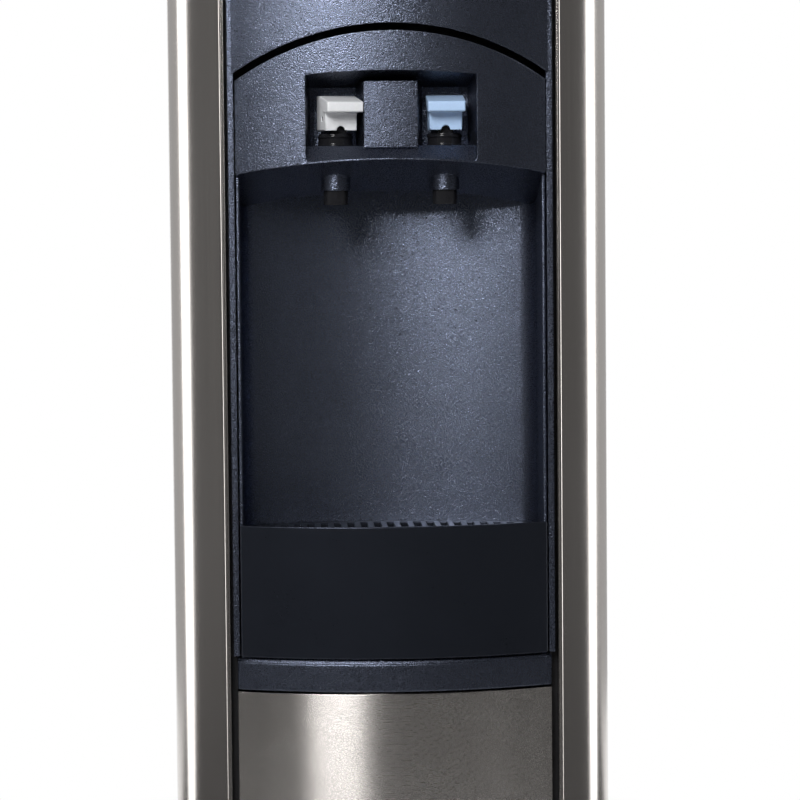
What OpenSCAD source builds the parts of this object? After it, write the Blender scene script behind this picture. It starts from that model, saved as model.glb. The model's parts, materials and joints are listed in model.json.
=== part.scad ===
// Point-of-use water cooler: a free-standing cabinet with a hot and a cold lever tap over a drip tray.
// Millimetres, +Z up, front towards -Y, origin on the floor under the middle of the bounding box.

/* [Cabinet] */
// Width over the two corner columns
cabinet_w = 310; // [300:1:360]
// Depth from the fascia plane to the back of the rear panel
cabinet_d = 290; // [280:1:340]
// Width of each rounded corner column
column_r = 40; // [32:1:44]
// Turn of each column's face at its inner edge
column_turn = 15; // [10:1:18]
// Thickness of the stainless sheet
sheet_t = 1.2; // [0.8:0.1:2]
// Radius of the rolled hem on each column's inner edge
hem_r = 1.6; // [1:0.1:2.2]
// Depth of the return flange behind the hem
return_d = 14; // [8:1:20]
// How far the front pieces bow out at the middle
bulge = 24; // [18:1:28]
// Gap between stacked front pieces
joint_gap = 1.6; // [1:0.1:2.5]

/* [Heights] */
// Height of the feet
foot_h = 18; // [12:1:30]
// Height of the front plinth
plinth_h = 44; // [35:1:60]
// Height of the lower front panel
lower_panel_h = 399; // [380:1:440]
// Height of the band under the drip tray
band_h = 21.6; // [16:0.2:30]
// Height of the drip tray's front
tray_h = 92; // [70:1:110]
// Clear height from the tray's rim to the back edge of the hood's bevel
cup_space_h = 232; // [210:0.2:260]
// Height of the hood's straight sides
hood_side_h = 64.8; // [60:0.2:74]
// Rise of the hood's arched top over its sides
arch_rise = 33; // [28:1:40]
// Height of the crown over the arch
crown_h = 62.2; // [50:0.2:70]
// Height of the top cover
cover_h = 26; // [18:1:40]

/* [Front opening] */
// Gap between a column and the lower panel
panel_gap = 5; // [3:0.5:6]
// Gap between a column and the fascia strip beside it
strip_gap = 2.4; // [1.5:0.1:4]
// Width of a fascia strip
strip_w = 4.2; // [3:0.1:6]
// Depth of the fascia strips and of the panels' side returns
strip_d = 12; // [8:1:16]
// Wall of the fascia's crown
crown_wall = 3; // [2:0.1:4]
// Width of the groove along the arch
arch_groove = 5; // [3:0.1:6]
// Depth of the alcove
alcove_depth = 74; // [66:1:90]
// Radius of the alcove's hollow back
alcove_arc_r = 250; // [200:5:320]
// Radius of the alcove's two rear corners
alcove_corner = 18; // [10:1:24]
// Wall of the alcove liner
alcove_wall = 2.6; // [2:0.1:3.5]
// Step from the opening's edge to the liner
liner_gap = 0.8; // [0.4:0.1:0.9]

/* [Hood] */
// Wall of the hood
hood_wall = 3; // [2:0.1:3.5]
// Gap between the hood's sides and the fascia
hood_gap = 0.8; // [0.4:0.1:0.9]
// Rise of the bevelled underside for each millimetre forward
bevel_slope = 0.4; // [0.3:0.02:0.45]
// Depth of the bevel's back edge behind the fascia plane
bevel_d = 28; // [26:1:34]
// Half width of the tap recess at the front
recess_half = 59; // [56:0.5:64]
// Draft of the recess's side walls from front to back
recess_draft = 3.5; // [1:0.5:5]
// Strip between the hood's lower edge and the recess
recess_sill = 1; // [0.8:0.1:3]
// Height of the recess at its middle
recess_h = 60; // [57:0.5:62]
// Rise of the recess's floor from front to back
recess_floor_rise = 11.5; // [9:0.5:12.5]
// Depth of the floor's slope behind the recess's front edge
recess_floor_run = 11; // [9:0.5:13]
// Drop of the recess's ceiling from front to back
recess_ceiling_drop = 9.8; // [6:0.2:11]
// Depth of the recess's back wall behind the fascia plane
recess_back = 24; // [23.5:0.1:25]
// Wall of the recess
recess_wall = 2.4; // [1.8:0.1:2.6]
// Corner radius of the recess's outline
recess_corner = 4; // [2:0.5:6]
// Radius of the arcs along the recess's top and bottom edges
recess_arc_r = 660; // [500:10:900]
// Half width of the centre block between the taps
block_half = 18.5; // [14:0.5:18.5]
// Depth of the centre block's front behind the hood's front
block_set = 14; // [13:0.5:16]
// Widening of the centre block towards its back, on each side
block_draft = 4.5; // [2:0.5:5]
// Height of the floor strip under the centre block
block_sill = 7.5; // [6:0.5:9]
// Height of the trench over the centre block
block_trench = 6.7; // [5:0.1:8]
// Outer radius of the spout shrouds under the bevel
shroud_r = 10.2; // [10:0.1:11]

/* [Taps] */
// Distance of each tap from the middle
tap_x = 38; // [38:0.5:40]
// Depth of the tap axis behind the fascia plane
tap_depth = 10.5; // [9.5:0.5:11]
// Radius of the black collar under each lever
collar_r = 12.4; // [11:0.2:12.6]
// Height of the collar
collar_h = 8.6; // [8.4:0.1:9]
// Radius of the spout
spout_r = 8.6; // [8:0.1:8.8]
// How far the spout's tip hangs below the bevel's back edge
spout_drop = 10; // [8:1:20]
// Radius of the horizontal shank
shank_r = 4; // [3.4:0.1:4.1]
// Radius of the valve stem
stem_r = 2.2; // [1.6:0.1:2.4]
// Radius of the lever pin
pin_r = 1.5; // [1.2:0.1:1.8]
// Distance from the lever pin forward of the tap axis
pin_arm = 7; // [6.6:0.1:7.4]
// Height of the lever pin over the collar
pin_rise = 10.4; // [10.2:0.1:11]
// Running clearance of pins and stems
run_gap = 0.05; // [0.02:0.01:0.1]

/* [Levers] */
// Width of a lever's body
lever_w = 23; // [22:0.5:25]
// Height of a lever
lever_h = 24.2; // [22:0.2:25]
// Distance from the tap axis to the lever's front wall
lever_front = 14.8; // [14.7:0.1:15.4]
// Wall of a lever
lever_wall = 2.2; // [1.6:0.1:2.4]
// Width of the paddle
paddle_w = 26; // [25:0.5:26]
// Distance from the tap axis to the paddle's front face
paddle_reach = 26.5; // [24:0.5:26.5]
// Height of the paddle's front face
paddle_face_h = 7; // [6:0.5:9]
// Fall of the paddle's top from the body to the front face
paddle_fall = 5; // [3:0.5:6]
// Radius of the notch in the lever's lower edge
notch_r = 2.9; // [2.6:0.1:3.5]
// Turn of the hot lever to the right
hot_twist = 15; // [0:1:15]
// Turn of the cold lever to the right
cold_twist = 1; // [0:1:10]

/* [Drip tray] */
// How far the tray's front stands proud of the band
tray_proud = 1.5; // [0:0.1:3]
// Gap between the tray and the fascia strips
tray_gap = 1.2; // [0.8:0.1:2]
// Wall of the tray
tray_wall = 2.5; // [2:0.1:3]
// Depth of the grille's top below the tray's rim
grille_drop = 5.5; // [3:0.5:8]
// Thickness of the grille
grille_t = 4; // [3:0.5:6]
// Pitch of the grille's slots
slot_pitch = 9.5; // [8:0.1:14]
// Width of a slot
slot_w = 5; // [3:0.1:6]
// Width of the grille's plain rim
grille_rim = 7; // [5:0.5:10]
// Width of the ledge that carries the grille
ledge_w = 4; // [3:0.5:5]
// Sliding clearance around the tray and the grille
slide_gap = 0.5; // [0.3:0.1:0.8]
// Thickness of the shelf plate
shelf_t = 3; // [2:0.1:4]

/* [Water system] */
// Share of the free width that the cold tank's jacket takes, in percent
cold_share = 57; // [52:1:60]
// Height of the tanks
tank_h = 200; // [190:1:230]
// Thickness of the cold tank's foam jacket
cold_foam = 20; // [15:1:25]
// Thickness of the hot tank's foam jacket
hot_foam = 16; // [12:1:18]
// Radius of the water tubes
tube_r = 4; // [3:0.1:4.5]
// Radius of the bore that takes the mains water tube
inlet_bore_r = 3.2; // [2.5:0.1:4]
// Radius of the filter cartridges
cartridge_r = 28; // [24:1:30]
// Length of the filter cartridges
cartridge_h = 230; // [200:5:260]

/* [Cooling system] */
// Radius of the compressor's shell
compressor_r = 60; // [50:1:62]
// Height of the compressor's shell between its domes
compressor_h = 80; // [60:1:120]
// Distance from the rear panel to the condenser tube
condenser_stand = 26; // [20:1:34]
// Radius of the condenser tube
condenser_r = 2.5; // [2:0.1:3.5]
// Distance from the right side to the condenser's bends
condenser_margin = 26; // [20:1:40]
// Number of condenser passes, an even count
condenser_passes = 12; // [8:2:14]
// Pitch of the condenser passes
condenser_pitch = 46; // [40:1:50]
// Radius of the condenser's wires
wire_r = 0.8; // [0.6:0.1:1.2]
// Number of condenser wires
wire_count = 22; // [12:1:30]

/* [Hidden] */
$fn = 96;

// Small clearance between pieces that seat on each other without touching
seat_gap = 0.3;
// Overrun of a cut past the face that it opens
over = 1;

// Heights of the stacked pieces
z_plinth = foot_h;
z_panel = z_plinth + plinth_h + joint_gap;
z_band = z_panel + lower_panel_h + joint_gap;
z_band_top = z_band + band_h;
z_tray = z_band_top + joint_gap;
z_rim = z_tray + tray_h;
z_grille = z_rim - grille_drop;
z_roof = z_rim + cup_space_h;
z_bevel = z_roof + bevel_slope * bevel_d;
z_arch_end = z_bevel + hood_side_h;
z_arch_top = z_arch_end + arch_rise;
z_crown_top = z_arch_top + crown_h;
z_cover = z_crown_top + joint_gap;
z_top = z_cover + cover_h;

// Half widths across the front
front_half = cabinet_w / 2 - column_r;
column_arc_r = column_r / (1 - sin(column_turn));
column_x = cabinet_w / 2 - column_arc_r;
panel_half = front_half - panel_gap;
strip_out = front_half - strip_gap;
opening_half = strip_out - strip_w;
hood_half = opening_half - hood_gap;
tray_half = opening_half - tray_gap;
side_in = cabinet_w / 2 - sheet_t;
alcove_half = opening_half - liner_gap - alcove_wall;
alcove_mid = alcove_half - alcove_corner;

// Depths, with the bounding box centred on the origin
wire_gap = 0.1;
drier_r = 8;
rear_reach = condenser_stand + max(drier_r, condenser_r + wire_gap + 2 * wire_r);
depth = tray_proud + bulge + cabinet_d + rear_reach;
fascia_y = tray_proud + bulge - depth / 2;
column_y = fascia_y + column_arc_r * cos(column_turn);
rear_y = fascia_y + cabinet_d;
rear_t = 1;
rear_in = rear_y - rear_t;
alcove_set = 2;
alcove_y = fascia_y + alcove_set;
alcove_arc_y = alcove_y + alcove_depth - alcove_arc_r;
alcove_corner_y = alcove_arc_y + sqrt(pow(alcove_arc_r - alcove_corner, 2) - alcove_mid * alcove_mid);
liner_back = alcove_y + alcove_depth + alcove_wall;

// The vertical cylinder that all bowed front faces share
bulge_r = (panel_half * panel_half + bulge * bulge) / (2 * bulge);
bulge_y = fascia_y - bulge + bulge_r;
hood_back_r = bulge_r - bulge - bevel_d;

// The arch over the hood
arch_r = (hood_half * hood_half + arch_rise * arch_rise) / (2 * arch_rise);
arch_z = z_arch_top - arch_r;

// Distance behind the bulge axis that a front view prism spans
front_y0 = fascia_y - bulge - tray_proud - over;
hood_margin = 60;
front_y1 = fascia_y + bevel_d + hood_margin;
hood_z0 = z_roof - hood_margin;
hood_h = z_top - z_roof;

function bevel_at(y) = z_bevel - bevel_slope * (y - fascia_y);

// Tap recess
recess_lo = bevel_at(fascia_y - bulge) + recess_sill;
recess_hi = recess_lo + recess_h;
recess_sag = recess_arc_r - sqrt(recess_arc_r * recess_arc_r - recess_half * recess_half);
z_seat = recess_lo - recess_sag + recess_floor_rise;
recess_y = fascia_y + recess_back;
recess_edge_y = bulge_y - sqrt(bulge_r * bulge_r - recess_half * recess_half);
block_lo = recess_lo + block_sill;
block_hi = recess_hi - block_trench;

// Taps
tap_y = fascia_y + tap_depth;
z_collar = z_seat + collar_h;
z_pin = z_collar + pin_rise;
z_spout = z_roof - spout_drop;
z_shank = z_seat + collar_h / 2;
tap_wall = 2;
cavity_r = spout_r - tap_wall;
orifice_r = cavity_r - tap_wall;
valve_rise = 11;
z_valve = z_roof + valve_rise;
valve_h = 4;
valve_gap = 0.6;
cavity_top = z_collar - tap_wall;
post_half = 5.5;
post_t = 2.6;
post_back = pin_arm - post_t;
post_front = pin_arm + post_t;
post_top = z_pin + post_t;
stem_head_r = 6.2;
stem_head_h = 2.5;
z_stem_head = post_top + seat_gap;
lever_gap = 2.2;
lever_lo = z_collar + lever_gap;
lever_hi = lever_lo + lever_h;
lever_back = 6.5;
paddle_root = 4.6;
lift_gap = 0.4;
lift_ledge_top = z_stem_head - lift_gap;
lift_ledge_h = 2.8;
lift_ledge_half = 2;
stud_gap = 0.6;
stud_r = notch_r - stud_gap;
shank_out = 18;
shank_end = recess_y + recess_wall + shank_out;
nut_h = 6;
nut_r = 8;

// Indicator lenses in the crown
lens_x = 22;
lens_r = 2.6;
lens_z = z_crown_top - crown_h / 2;

// Drip tray
shelf_top = z_tray - seat_gap;
tray_side = alcove_half - slide_gap;
ledge_h = 3;

// Deck and tanks
deck_t = 1.5;
deck_flange = 18;
deck_drop = 170;
deck_z = z_roof - deck_drop;
feed_gap = 3;
feed_y = liner_back + feed_gap + tube_r;
deck_y0 = feed_y + tube_r + 2 * feed_gap;
jacket_floor = 14;
tank_rear_gap = 16;
tank_side_gap = 13;
tank_free_w = 2 * side_in - 3 * tank_side_gap;
tank_free_d = rear_in - tank_rear_gap - deck_y0 + feed_gap;
cold_jacket_r = min(tank_free_w * cold_share / 100, tank_free_d) / 2;
hot_jacket_r = min(tank_free_w * (100 - cold_share) / 100, tank_free_d) / 2;
cold_r = cold_jacket_r - cold_foam;
hot_r = hot_jacket_r - hot_foam;
tank_z = deck_z + jacket_floor;
tank_top = tank_z + tank_h;
tank_y = rear_in - tank_rear_gap - cold_jacket_r;
cold_x = side_in - tank_side_gap - cold_jacket_r;
hot_x = -(side_in - tank_side_gap - hot_jacket_r);
lid_h = 8;
hole_gap = 0.6;
drain_x = hot_x - hot_r * 0.6;
transfer_x = hot_x + hot_r * 0.35;
drain_drop = 60;
drain_z = deck_z - drain_drop;
transfer_z = deck_z - drain_drop / 2;

// Base, filters and cooling
base_t = 1.5;
base_lip = 22;
base_top = z_plinth + base_t;
base_front = fascia_y + strip_d + 8;
foot_r = 20;
foot_inset = 46;
post_d = 20;
post_y = fascia_y + strip_d;
post_in = panel_half + seat_gap;
rail_y = fascia_y + column_r + 2;
rail_t = 2;
rail_half = column_x + sqrt(pow(column_arc_r - sheet_t, 2) - pow(column_y - rail_y, 2)) - seat_gap;
rail_h = 34;
rail_drop = 90;
rail_z = z_band - rail_drop;
head_r = cartridge_r + 3;
head_h = 40;
head_gap = 3;
head_y = rail_y + rail_t + head_r + head_gap;
sediment_x = -side_in * 0.4;
carbon_x = side_in * 0.14;
inlet_x = sediment_x;
inlet_rise = 62;
inlet_z = base_top + inlet_rise;
inlet_thread_r = 7;
inlet_fitting_in = 20;
inlet_fitting_out = 22;
valve_len = 46;
valve_y = rear_in - 2 * inlet_fitting_in - valve_len / 2;
drain_thread_r = 9;
drain_len = 18;
drain_in = 14;
drain_flange = 4;
compressor_arm = 11;
compressor_foot = compressor_r * 0.82;
compressor_reach = compressor_foot * sqrt(2) + 10;
compressor_side = 28;
compressor_x = side_in - compressor_side - compressor_reach * sqrt(2) / 2 - compressor_arm / sqrt(2);
compressor_rear = 26;
compressor_y = rear_in - compressor_rear - compressor_r;
grommet_h = 12;
grommet_r = 10;
grommet_neck_r = 6;
bolt_r = 3;
foot_plate = 3;
compressor_z = base_top + grommet_h + foot_plate - over;
dome_h = 22;
service_x = -(side_in - 42);
service_half = 28;
bend_r = condenser_pitch / 2;
condenser_left = service_x + service_half;
condenser_right = side_in - condenser_margin;
condenser_x = (condenser_left + condenser_right) / 2;
condenser_half = (condenser_right - condenser_left) / 2 - bend_r - condenser_r;
condenser_end = condenser_x + condenser_half;
line_gap = 6;
discharge_x = condenser_right + line_gap;
discharge_z = compressor_z + compressor_h;
condenser_y = rear_y + condenser_stand;
condenser_drop = 30;
condenser_top = z_roof - condenser_drop;
condenser_bottom = condenser_top - (condenser_passes - 1) * condenser_pitch;
drier_h = 70;
drier_x = condenser_end + line_gap;
drier_gap = 16;
drier_top = condenser_bottom - drier_gap;
capillary_z = drier_top - drier_h - line_gap - condenser_r;
louvre_w = 96;
louvre_h = 6;
louvre_rows = 7;
louvre_pitch = 18;
louvre_out = 5;
louvre_rise = 60;
switch_w = 15;
switch_h = 21;
switch_drop = 60;
switch_z = z_roof - switch_drop;
switch_pitch = 40;
rocker_tilt = 10;
power_w = 28;
power_h = 21;
power_rise = 80;
power_z = base_top + power_rise;
frame_t = 2;

// Shapes that repeat

module rounded_rect(w, h, r) {
    square([w - 2 * r, h], center = true);
    square([w, h - 2 * r], center = true);
    for (x = [-1, 1], y = [-1, 1])
        translate([x * (w / 2 - r), y * (h / 2 - r)]) circle(r);
}

// Extrudes a front view (x, z) from y0 to y1
module front_prism(y0, y1) {
    translate([0, y1, 0]) rotate([90, 0, 0]) linear_extrude(y1 - y0) children();
}

// Extrudes a side view (y, z) from x0 to x1
module side_prism(x0, x1) {
    translate([x0, 0, 0]) rotate([90, 0, 90]) linear_extrude(x1 - x0) children();
}

module block(x0, x1, y0, y1, z0, z1) {
    translate([x0, y0, z0]) cube([x1 - x0, y1 - y0, z1 - z0]);
}

// Solid behind the bowed front, grown by proud
module bowed(z0, h, proud = 0) {
    translate([0, bulge_y, z0]) cylinder(r = bulge_r + proud, h = h);
}

// Bowed wall between two depths, limited to a half width and to the front side
module bowed_wall(half, z0, h, wall, proud = 0) {
    intersection() {
        difference() {
            bowed(z0, h, proud);
            bowed(z0 - over, h + 2 * over, proud - wall);
        }
        block(-half, half, front_y0, front_y1, z0, z0 + h);
    }
}

// Plan of the cabinet without the bowed front
module cabinet_plan(inset) {
    half = cabinet_w / 2 - inset;
    translate([-half, column_y]) square([2 * half, fascia_y + cabinet_d - column_y - inset]);
    translate([-column_x, fascia_y + inset]) square([2 * column_x, column_y - fascia_y]);
    intersection() {
        for (side = [-1, 1]) translate([side * column_x, column_y]) circle(column_arc_r - inset);
        translate([-cabinet_w, fascia_y + inset]) square([2 * cabinet_w, cabinet_d]);
    }
}

// Plan of the alcove from its front edge back: a hollow back between two rounded corners
module alcove_plan(inset) {
    meet_x = alcove_mid * (alcove_arc_r - inset) / (alcove_arc_r - alcove_corner);
    intersection() {
        union() {
            intersection() {
                translate([-meet_x, alcove_y]) square([2 * meet_x, cabinet_d]);
                translate([0, alcove_arc_y]) circle(alcove_arc_r - inset, $fn = 256);
            }
            translate([-alcove_half + inset, alcove_y])
                square([2 * (alcove_half - inset), alcove_corner_y - alcove_y]);
            for (side = [-1, 1])
                translate([side * alcove_mid, alcove_corner_y]) circle(alcove_corner - inset);
        }
        translate([-cabinet_w, alcove_y]) square([2 * cabinet_w, cabinet_d]);
    }
}

// Tube along straight runs, with a ball elbow at each corner
module tube_run(points, r) {
    for (i = [0 : len(points) - 2]) {
        run = points[i + 1] - points[i];
        translate(points[i])
            rotate([0, acos(run[2] / norm(run)), atan2(run[1], run[0])])
                cylinder(r = r, h = norm(run), $fn = 32);
    }
    for (i = [1 : len(points) - 2]) translate(points[i]) sphere(r * 1.12, $fn = 32);
}

// Cylinder along +Y from y0 to y1
module rod_y(x, z, r, y0, y1) {
    translate([x, y0, z]) rotate([-90, 0, 0]) cylinder(r = r, h = y1 - y0);
}

// Cylinder along +X from x0 to x1
module rod_x(y, z, r, x0, x1) {
    translate([x0, y, z]) rotate([0, 90, 0]) cylinder(r = r, h = x1 - x0);
}

// Cabinet shell

module side_panel() {
    flange = 16;
    translate([0, 0, z_plinth]) linear_extrude(z_cover - z_plinth) {
        difference() {
            intersection() {
                cabinet_plan(0);
                translate([front_half, fascia_y]) square([column_r, column_y - fascia_y]);
            }
            translate([column_x, column_y]) circle(column_arc_r - sheet_t);
        }
        translate([side_in, column_y]) square([sheet_t, fascia_y + cabinet_d - rear_t - column_y]);
        translate([side_in - flange, rear_in - sheet_t]) square([flange + sheet_t, sheet_t]);
        translate([front_half, fascia_y + hem_r]) square([sheet_t, return_d - hem_r]);
        translate([front_half + hem_r, fascia_y + hem_r]) circle(hem_r);
    }
}

module right_side_panel() {
    color("silver") side_panel();
}

module left_side_panel() {
    color("silver") mirror([1, 0, 0]) side_panel();
}

module base_pan() {
    color("dimgray") difference() {
        translate([0, 0, z_plinth]) linear_extrude(base_lip) base_outline(0);
        translate([0, 0, base_top]) linear_extrude(base_lip) base_outline(base_t);
        for (x = [-1, 1], y = [-1, 1])
            translate([compressor_x + x * compressor_foot, compressor_y + y * compressor_foot, 0])
                cylinder(r = grommet_neck_r + seat_gap, h = z_top);
    }
}

module base_outline(inset) {
    intersection() {
        cabinet_plan(sheet_t + inset);
        translate([-cabinet_w / 2, base_front + inset])
            square([cabinet_w, rear_in - sheet_t - base_front - 2 * inset]);
    }
}

module feet() {
    foot_lip = 4;
    foot_taper = 5;
    front_gap = 6;
    color("black") for (x = [-1, 1], y = [base_front + foot_r + front_gap, rear_in - foot_inset])
        translate([x * (side_in - foot_inset), y, 0]) {
            cylinder(r = foot_r, h = foot_lip);
            translate([0, 0, foot_lip]) cylinder(r1 = foot_r, r2 = foot_r - foot_taper, h = foot_h - foot_lip);
        }
}

module front_posts() {
    color("black") for (side = [0, 1]) mirror([side, 0, 0])
        block(post_in, front_half, post_y, post_y + post_d, z_plinth + base_lip + seat_gap, z_cover);
}

module louvre_places() {
    louvre_z = condenser_bottom + louvre_rise;
    for (x = [-1, 1], row = [0 : louvre_rows - 1])
        translate([x * (louvre_w + louvre_pitch) / 2, rear_y, louvre_z + row * louvre_pitch]) children();
}

module rear_panel() {
    half = side_in - joint_gap / 2;
    color("gray") {
        difference() {
            block(-half, half, rear_in, rear_y, base_top, z_cover - seat_gap);
            louvre_places() block(-louvre_w / 2, louvre_w / 2, -rear_t - over, over, 0, louvre_h);
            for (i = [0, 1])
                block(
                    service_x - switch_w / 2 - seat_gap, service_x + switch_w / 2 + seat_gap,
                    rear_in - over, rear_y + over,
                    switch_z - i * switch_pitch - switch_h / 2 - seat_gap,
                    switch_z - i * switch_pitch + switch_h / 2 + seat_gap
                );
            block(
                service_x - power_w / 2 - seat_gap, service_x + power_w / 2 + seat_gap,
                rear_in - over, rear_y + over,
                power_z - power_h / 2 - seat_gap, power_z + power_h / 2 + seat_gap
            );
            rod_y(inlet_x, inlet_z, inlet_thread_r + seat_gap, rear_in - over, rear_y + over);
            rod_y(drain_x, drain_z, drain_thread_r + seat_gap, rear_in - over, rear_y + over);
            rod_y(discharge_x, discharge_z, condenser_r + over, rear_in - over, rear_y + over);
            rod_y(drier_x, capillary_z, condenser_r + over, rear_in - over, rear_y + over);
        }
        louvre_places() side_prism(-louvre_w / 2, louvre_w / 2)
            polygon([[0, louvre_h], [louvre_out, 0], [louvre_out, -rear_t], [0, louvre_h - rear_t]]);
    }
}

module rear_screws() {
    screw_r = 3.6;
    screw_h = 2;
    rows = 4;
    side_gap = 8;
    end_gap = 40;
    pitch = (z_cover - base_top - 2 * end_gap) / (rows - 1);
    color("silver") for (x = [-1, 1], i = [0 : rows - 1])
        rod_y(x * (side_in - side_gap), base_top + end_gap + i * pitch, screw_r, rear_y, rear_y + screw_h);
}

module cover_plan(inset) {
    cabinet_plan(inset);
    intersection() {
        translate([0, bulge_y]) circle(bulge_r - inset);
        translate([-panel_half, front_y0]) square([2 * panel_half, bulge + column_r]);
    }
}

module top_cover() {
    wall = 3;
    edge = 8;
    color("black") difference() {
        union() {
            translate([0, 0, z_cover]) linear_extrude(cover_h - edge) cover_plan(0);
            for (step = [0 : 5])
                translate([0, 0, z_top - edge])
                    linear_extrude(edge * sin(15 * (step + 1)))
                        cover_plan(edge * (1 - cos(15 * step)));
        }
        translate([0, 0, z_cover - over]) linear_extrude(cover_h - edge + over) cover_plan(wall);
    }
}

// Bowed front pieces

module side_returns(z0, h, wall) {
    for (side = [0, 1]) mirror([side, 0, 0])
        block(panel_half - wall, panel_half, fascia_y, fascia_y + strip_d, z0, z0 + h);
}

module lower_front_panel() {
    flange = 12;
    color("silver") {
        bowed_wall(panel_half, z_panel, lower_panel_h, sheet_t);
        side_returns(z_panel, lower_panel_h, sheet_t);
        for (z = [z_panel, z_panel + lower_panel_h - sheet_t]) bowed_wall(panel_half, z, sheet_t, flange);
    }
}

module front_plinth() {
    wall = 3;
    color("black") {
        bowed_wall(panel_half, z_plinth, plinth_h, wall);
        side_returns(z_plinth, plinth_h, wall);
        bowed_wall(panel_half, z_plinth + plinth_h - wall, wall, bulge);
    }
}

module tray_shelf() {
    wall = 3;
    round_h = 3.6;
    round_d = 2.4;
    shelf_gap = 0.8;
    color("black") {
        bowed_wall(panel_half, z_band, band_h - round_h, wall);
        for (step = [0 : 3])
            bowed_wall(
                panel_half, z_band_top - round_h - over, over + round_h * sin(22.5 * (step + 1)),
                wall, -round_d * (1 - cos(22.5 * step))
            );
        side_returns(z_band, band_h, wall);
        intersection() {
            union() {
                translate([0, 0, shelf_top - shelf_t]) linear_extrude(shelf_t) alcove_plan(-alcove_wall);
                block(-panel_half, panel_half, front_y0, alcove_y, shelf_top - shelf_t, shelf_top);
            }
            bowed(shelf_top - shelf_t, shelf_t, -wall - shelf_gap);
        }
    }
}

// Black fascia, hood and liner

module arch_disc(grow) {
    translate([0, arch_z]) circle(arch_r + grow, $fn = 192);
}

module fascia() {
    color("black") difference() {
        union() {
            intersection() {
                bowed_wall(opening_half + 1, z_arch_end, z_crown_top - z_arch_end, crown_wall);
                front_prism(front_y0, front_y1) difference() {
                    translate([-strip_out, z_arch_end]) square([2 * strip_out, z_crown_top - z_arch_end]);
                    arch_disc(arch_groove);
                }
            }
            for (side = [0, 1]) mirror([side, 0, 0])
                block(opening_half, strip_out, fascia_y, post_y, z_tray, z_crown_top);
            block(-strip_out, strip_out, post_y - crown_wall, post_y, z_crown_top - crown_h / 3, z_crown_top);
        }
        for (i = [-1 : 1]) rod_y(i * lens_x, lens_z, lens_r + wire_gap, front_y0, fascia_y);
    }
}

module indicator_lenses() {
    proud = 0.6;
    lens_d = 6;
    color("lightgreen") for (i = [-1 : 1]) {
        front = bulge_y - sqrt(bulge_r * bulge_r - i * i * lens_x * lens_x);
        rod_y(i * lens_x, lens_z, lens_r, front - proud, front + lens_d);
    }
}

module above_bevel(rise) {
    low_y = fascia_y - 2 * bulge;
    side_prism(-cabinet_w, cabinet_w) polygon([
        [low_y, bevel_at(low_y) + rise], [front_y1, bevel_at(front_y1) + rise],
        [front_y1, z_top], [low_y, z_top]
    ]);
}

module hood_outline(inset) {
    intersection() {
        translate([-(hood_half - inset), hood_z0]) square([2 * (hood_half - inset), hood_h]);
        arch_disc(-inset);
    }
}

module hood_outer() {
    intersection() {
        front_prism(front_y0, front_y1) hood_outline(0);
        difference() {
            bowed(hood_z0, hood_h);
            bowed(hood_z0 - over, hood_h + 2 * over, hood_back_r - bulge_r);
        }
        above_bevel(0);
    }
}

module hood_cavity() {
    intersection() {
        front_prism(front_y0, front_y1) hood_outline(hood_wall);
        bowed(hood_z0, hood_h, -hood_wall);
        above_bevel(hood_wall * sqrt(1 + bevel_slope * bevel_slope));
    }
}

// Tapering pocket for both taps, grown by wall on every side but the front
module recess(wall) {
    intersection() {
        front_prism(front_y0, recess_y + wall) difference() {
            intersection() {
                translate([0, (recess_lo + recess_hi - recess_sag) / 2])
                    rounded_rect(
                        2 * (recess_half + wall), recess_h + recess_sag + 2 * wall, recess_corner + wall
                    );
                translate([0, recess_hi + wall - recess_arc_r]) circle(recess_arc_r, $fn = 256);
            }
            translate([0, recess_lo - wall - recess_arc_r]) circle(recess_arc_r, $fn = 256);
        }
        side_prism(-cabinet_w, cabinet_w) polygon([
            [front_y0, recess_lo - recess_sag - wall], [recess_edge_y, recess_lo - recess_sag - wall],
            [recess_edge_y + recess_floor_run, z_seat - wall], [recess_y + wall, z_seat - wall],
            [recess_y + wall, recess_hi - recess_ceiling_drop + wall],
            [recess_edge_y, recess_hi + wall], [front_y0, recess_hi + wall]
        ]);
        translate([0, 0, hood_z0]) linear_extrude(hood_h) polygon([
            [-recess_half - wall, front_y0], [recess_half + wall, front_y0],
            [recess_half + wall, recess_edge_y], [recess_half - recess_draft + wall, recess_y + wall],
            [-(recess_half - recess_draft) - wall, recess_y + wall], [-recess_half - wall, recess_edge_y]
        ]);
    }
}

// Block between the taps, wider towards its back; inset makes the room behind its front
module centre_block(inset) {
    half = block_half - inset;
    block_y = fascia_y - bulge + block_set;
    end_y = recess_y + (inset > 0 ? recess_wall + over : 0);
    intersection() {
        bowed(block_lo + inset, block_hi - block_lo - 2 * inset, -block_set - inset);
        translate([0, 0, hood_z0]) linear_extrude(hood_h) polygon([
            [-half, block_y], [half, block_y],
            [half + block_draft, end_y], [-half - block_draft, end_y]
        ]);
    }
}

// Round column under each tap, from the bevel's back edge to the tap's seat
module tap_column(r) {
    for (side = [-1, 1]) translate([side * tap_x, tap_y, z_roof]) cylinder(r = r, h = z_seat - z_roof);
}

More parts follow.
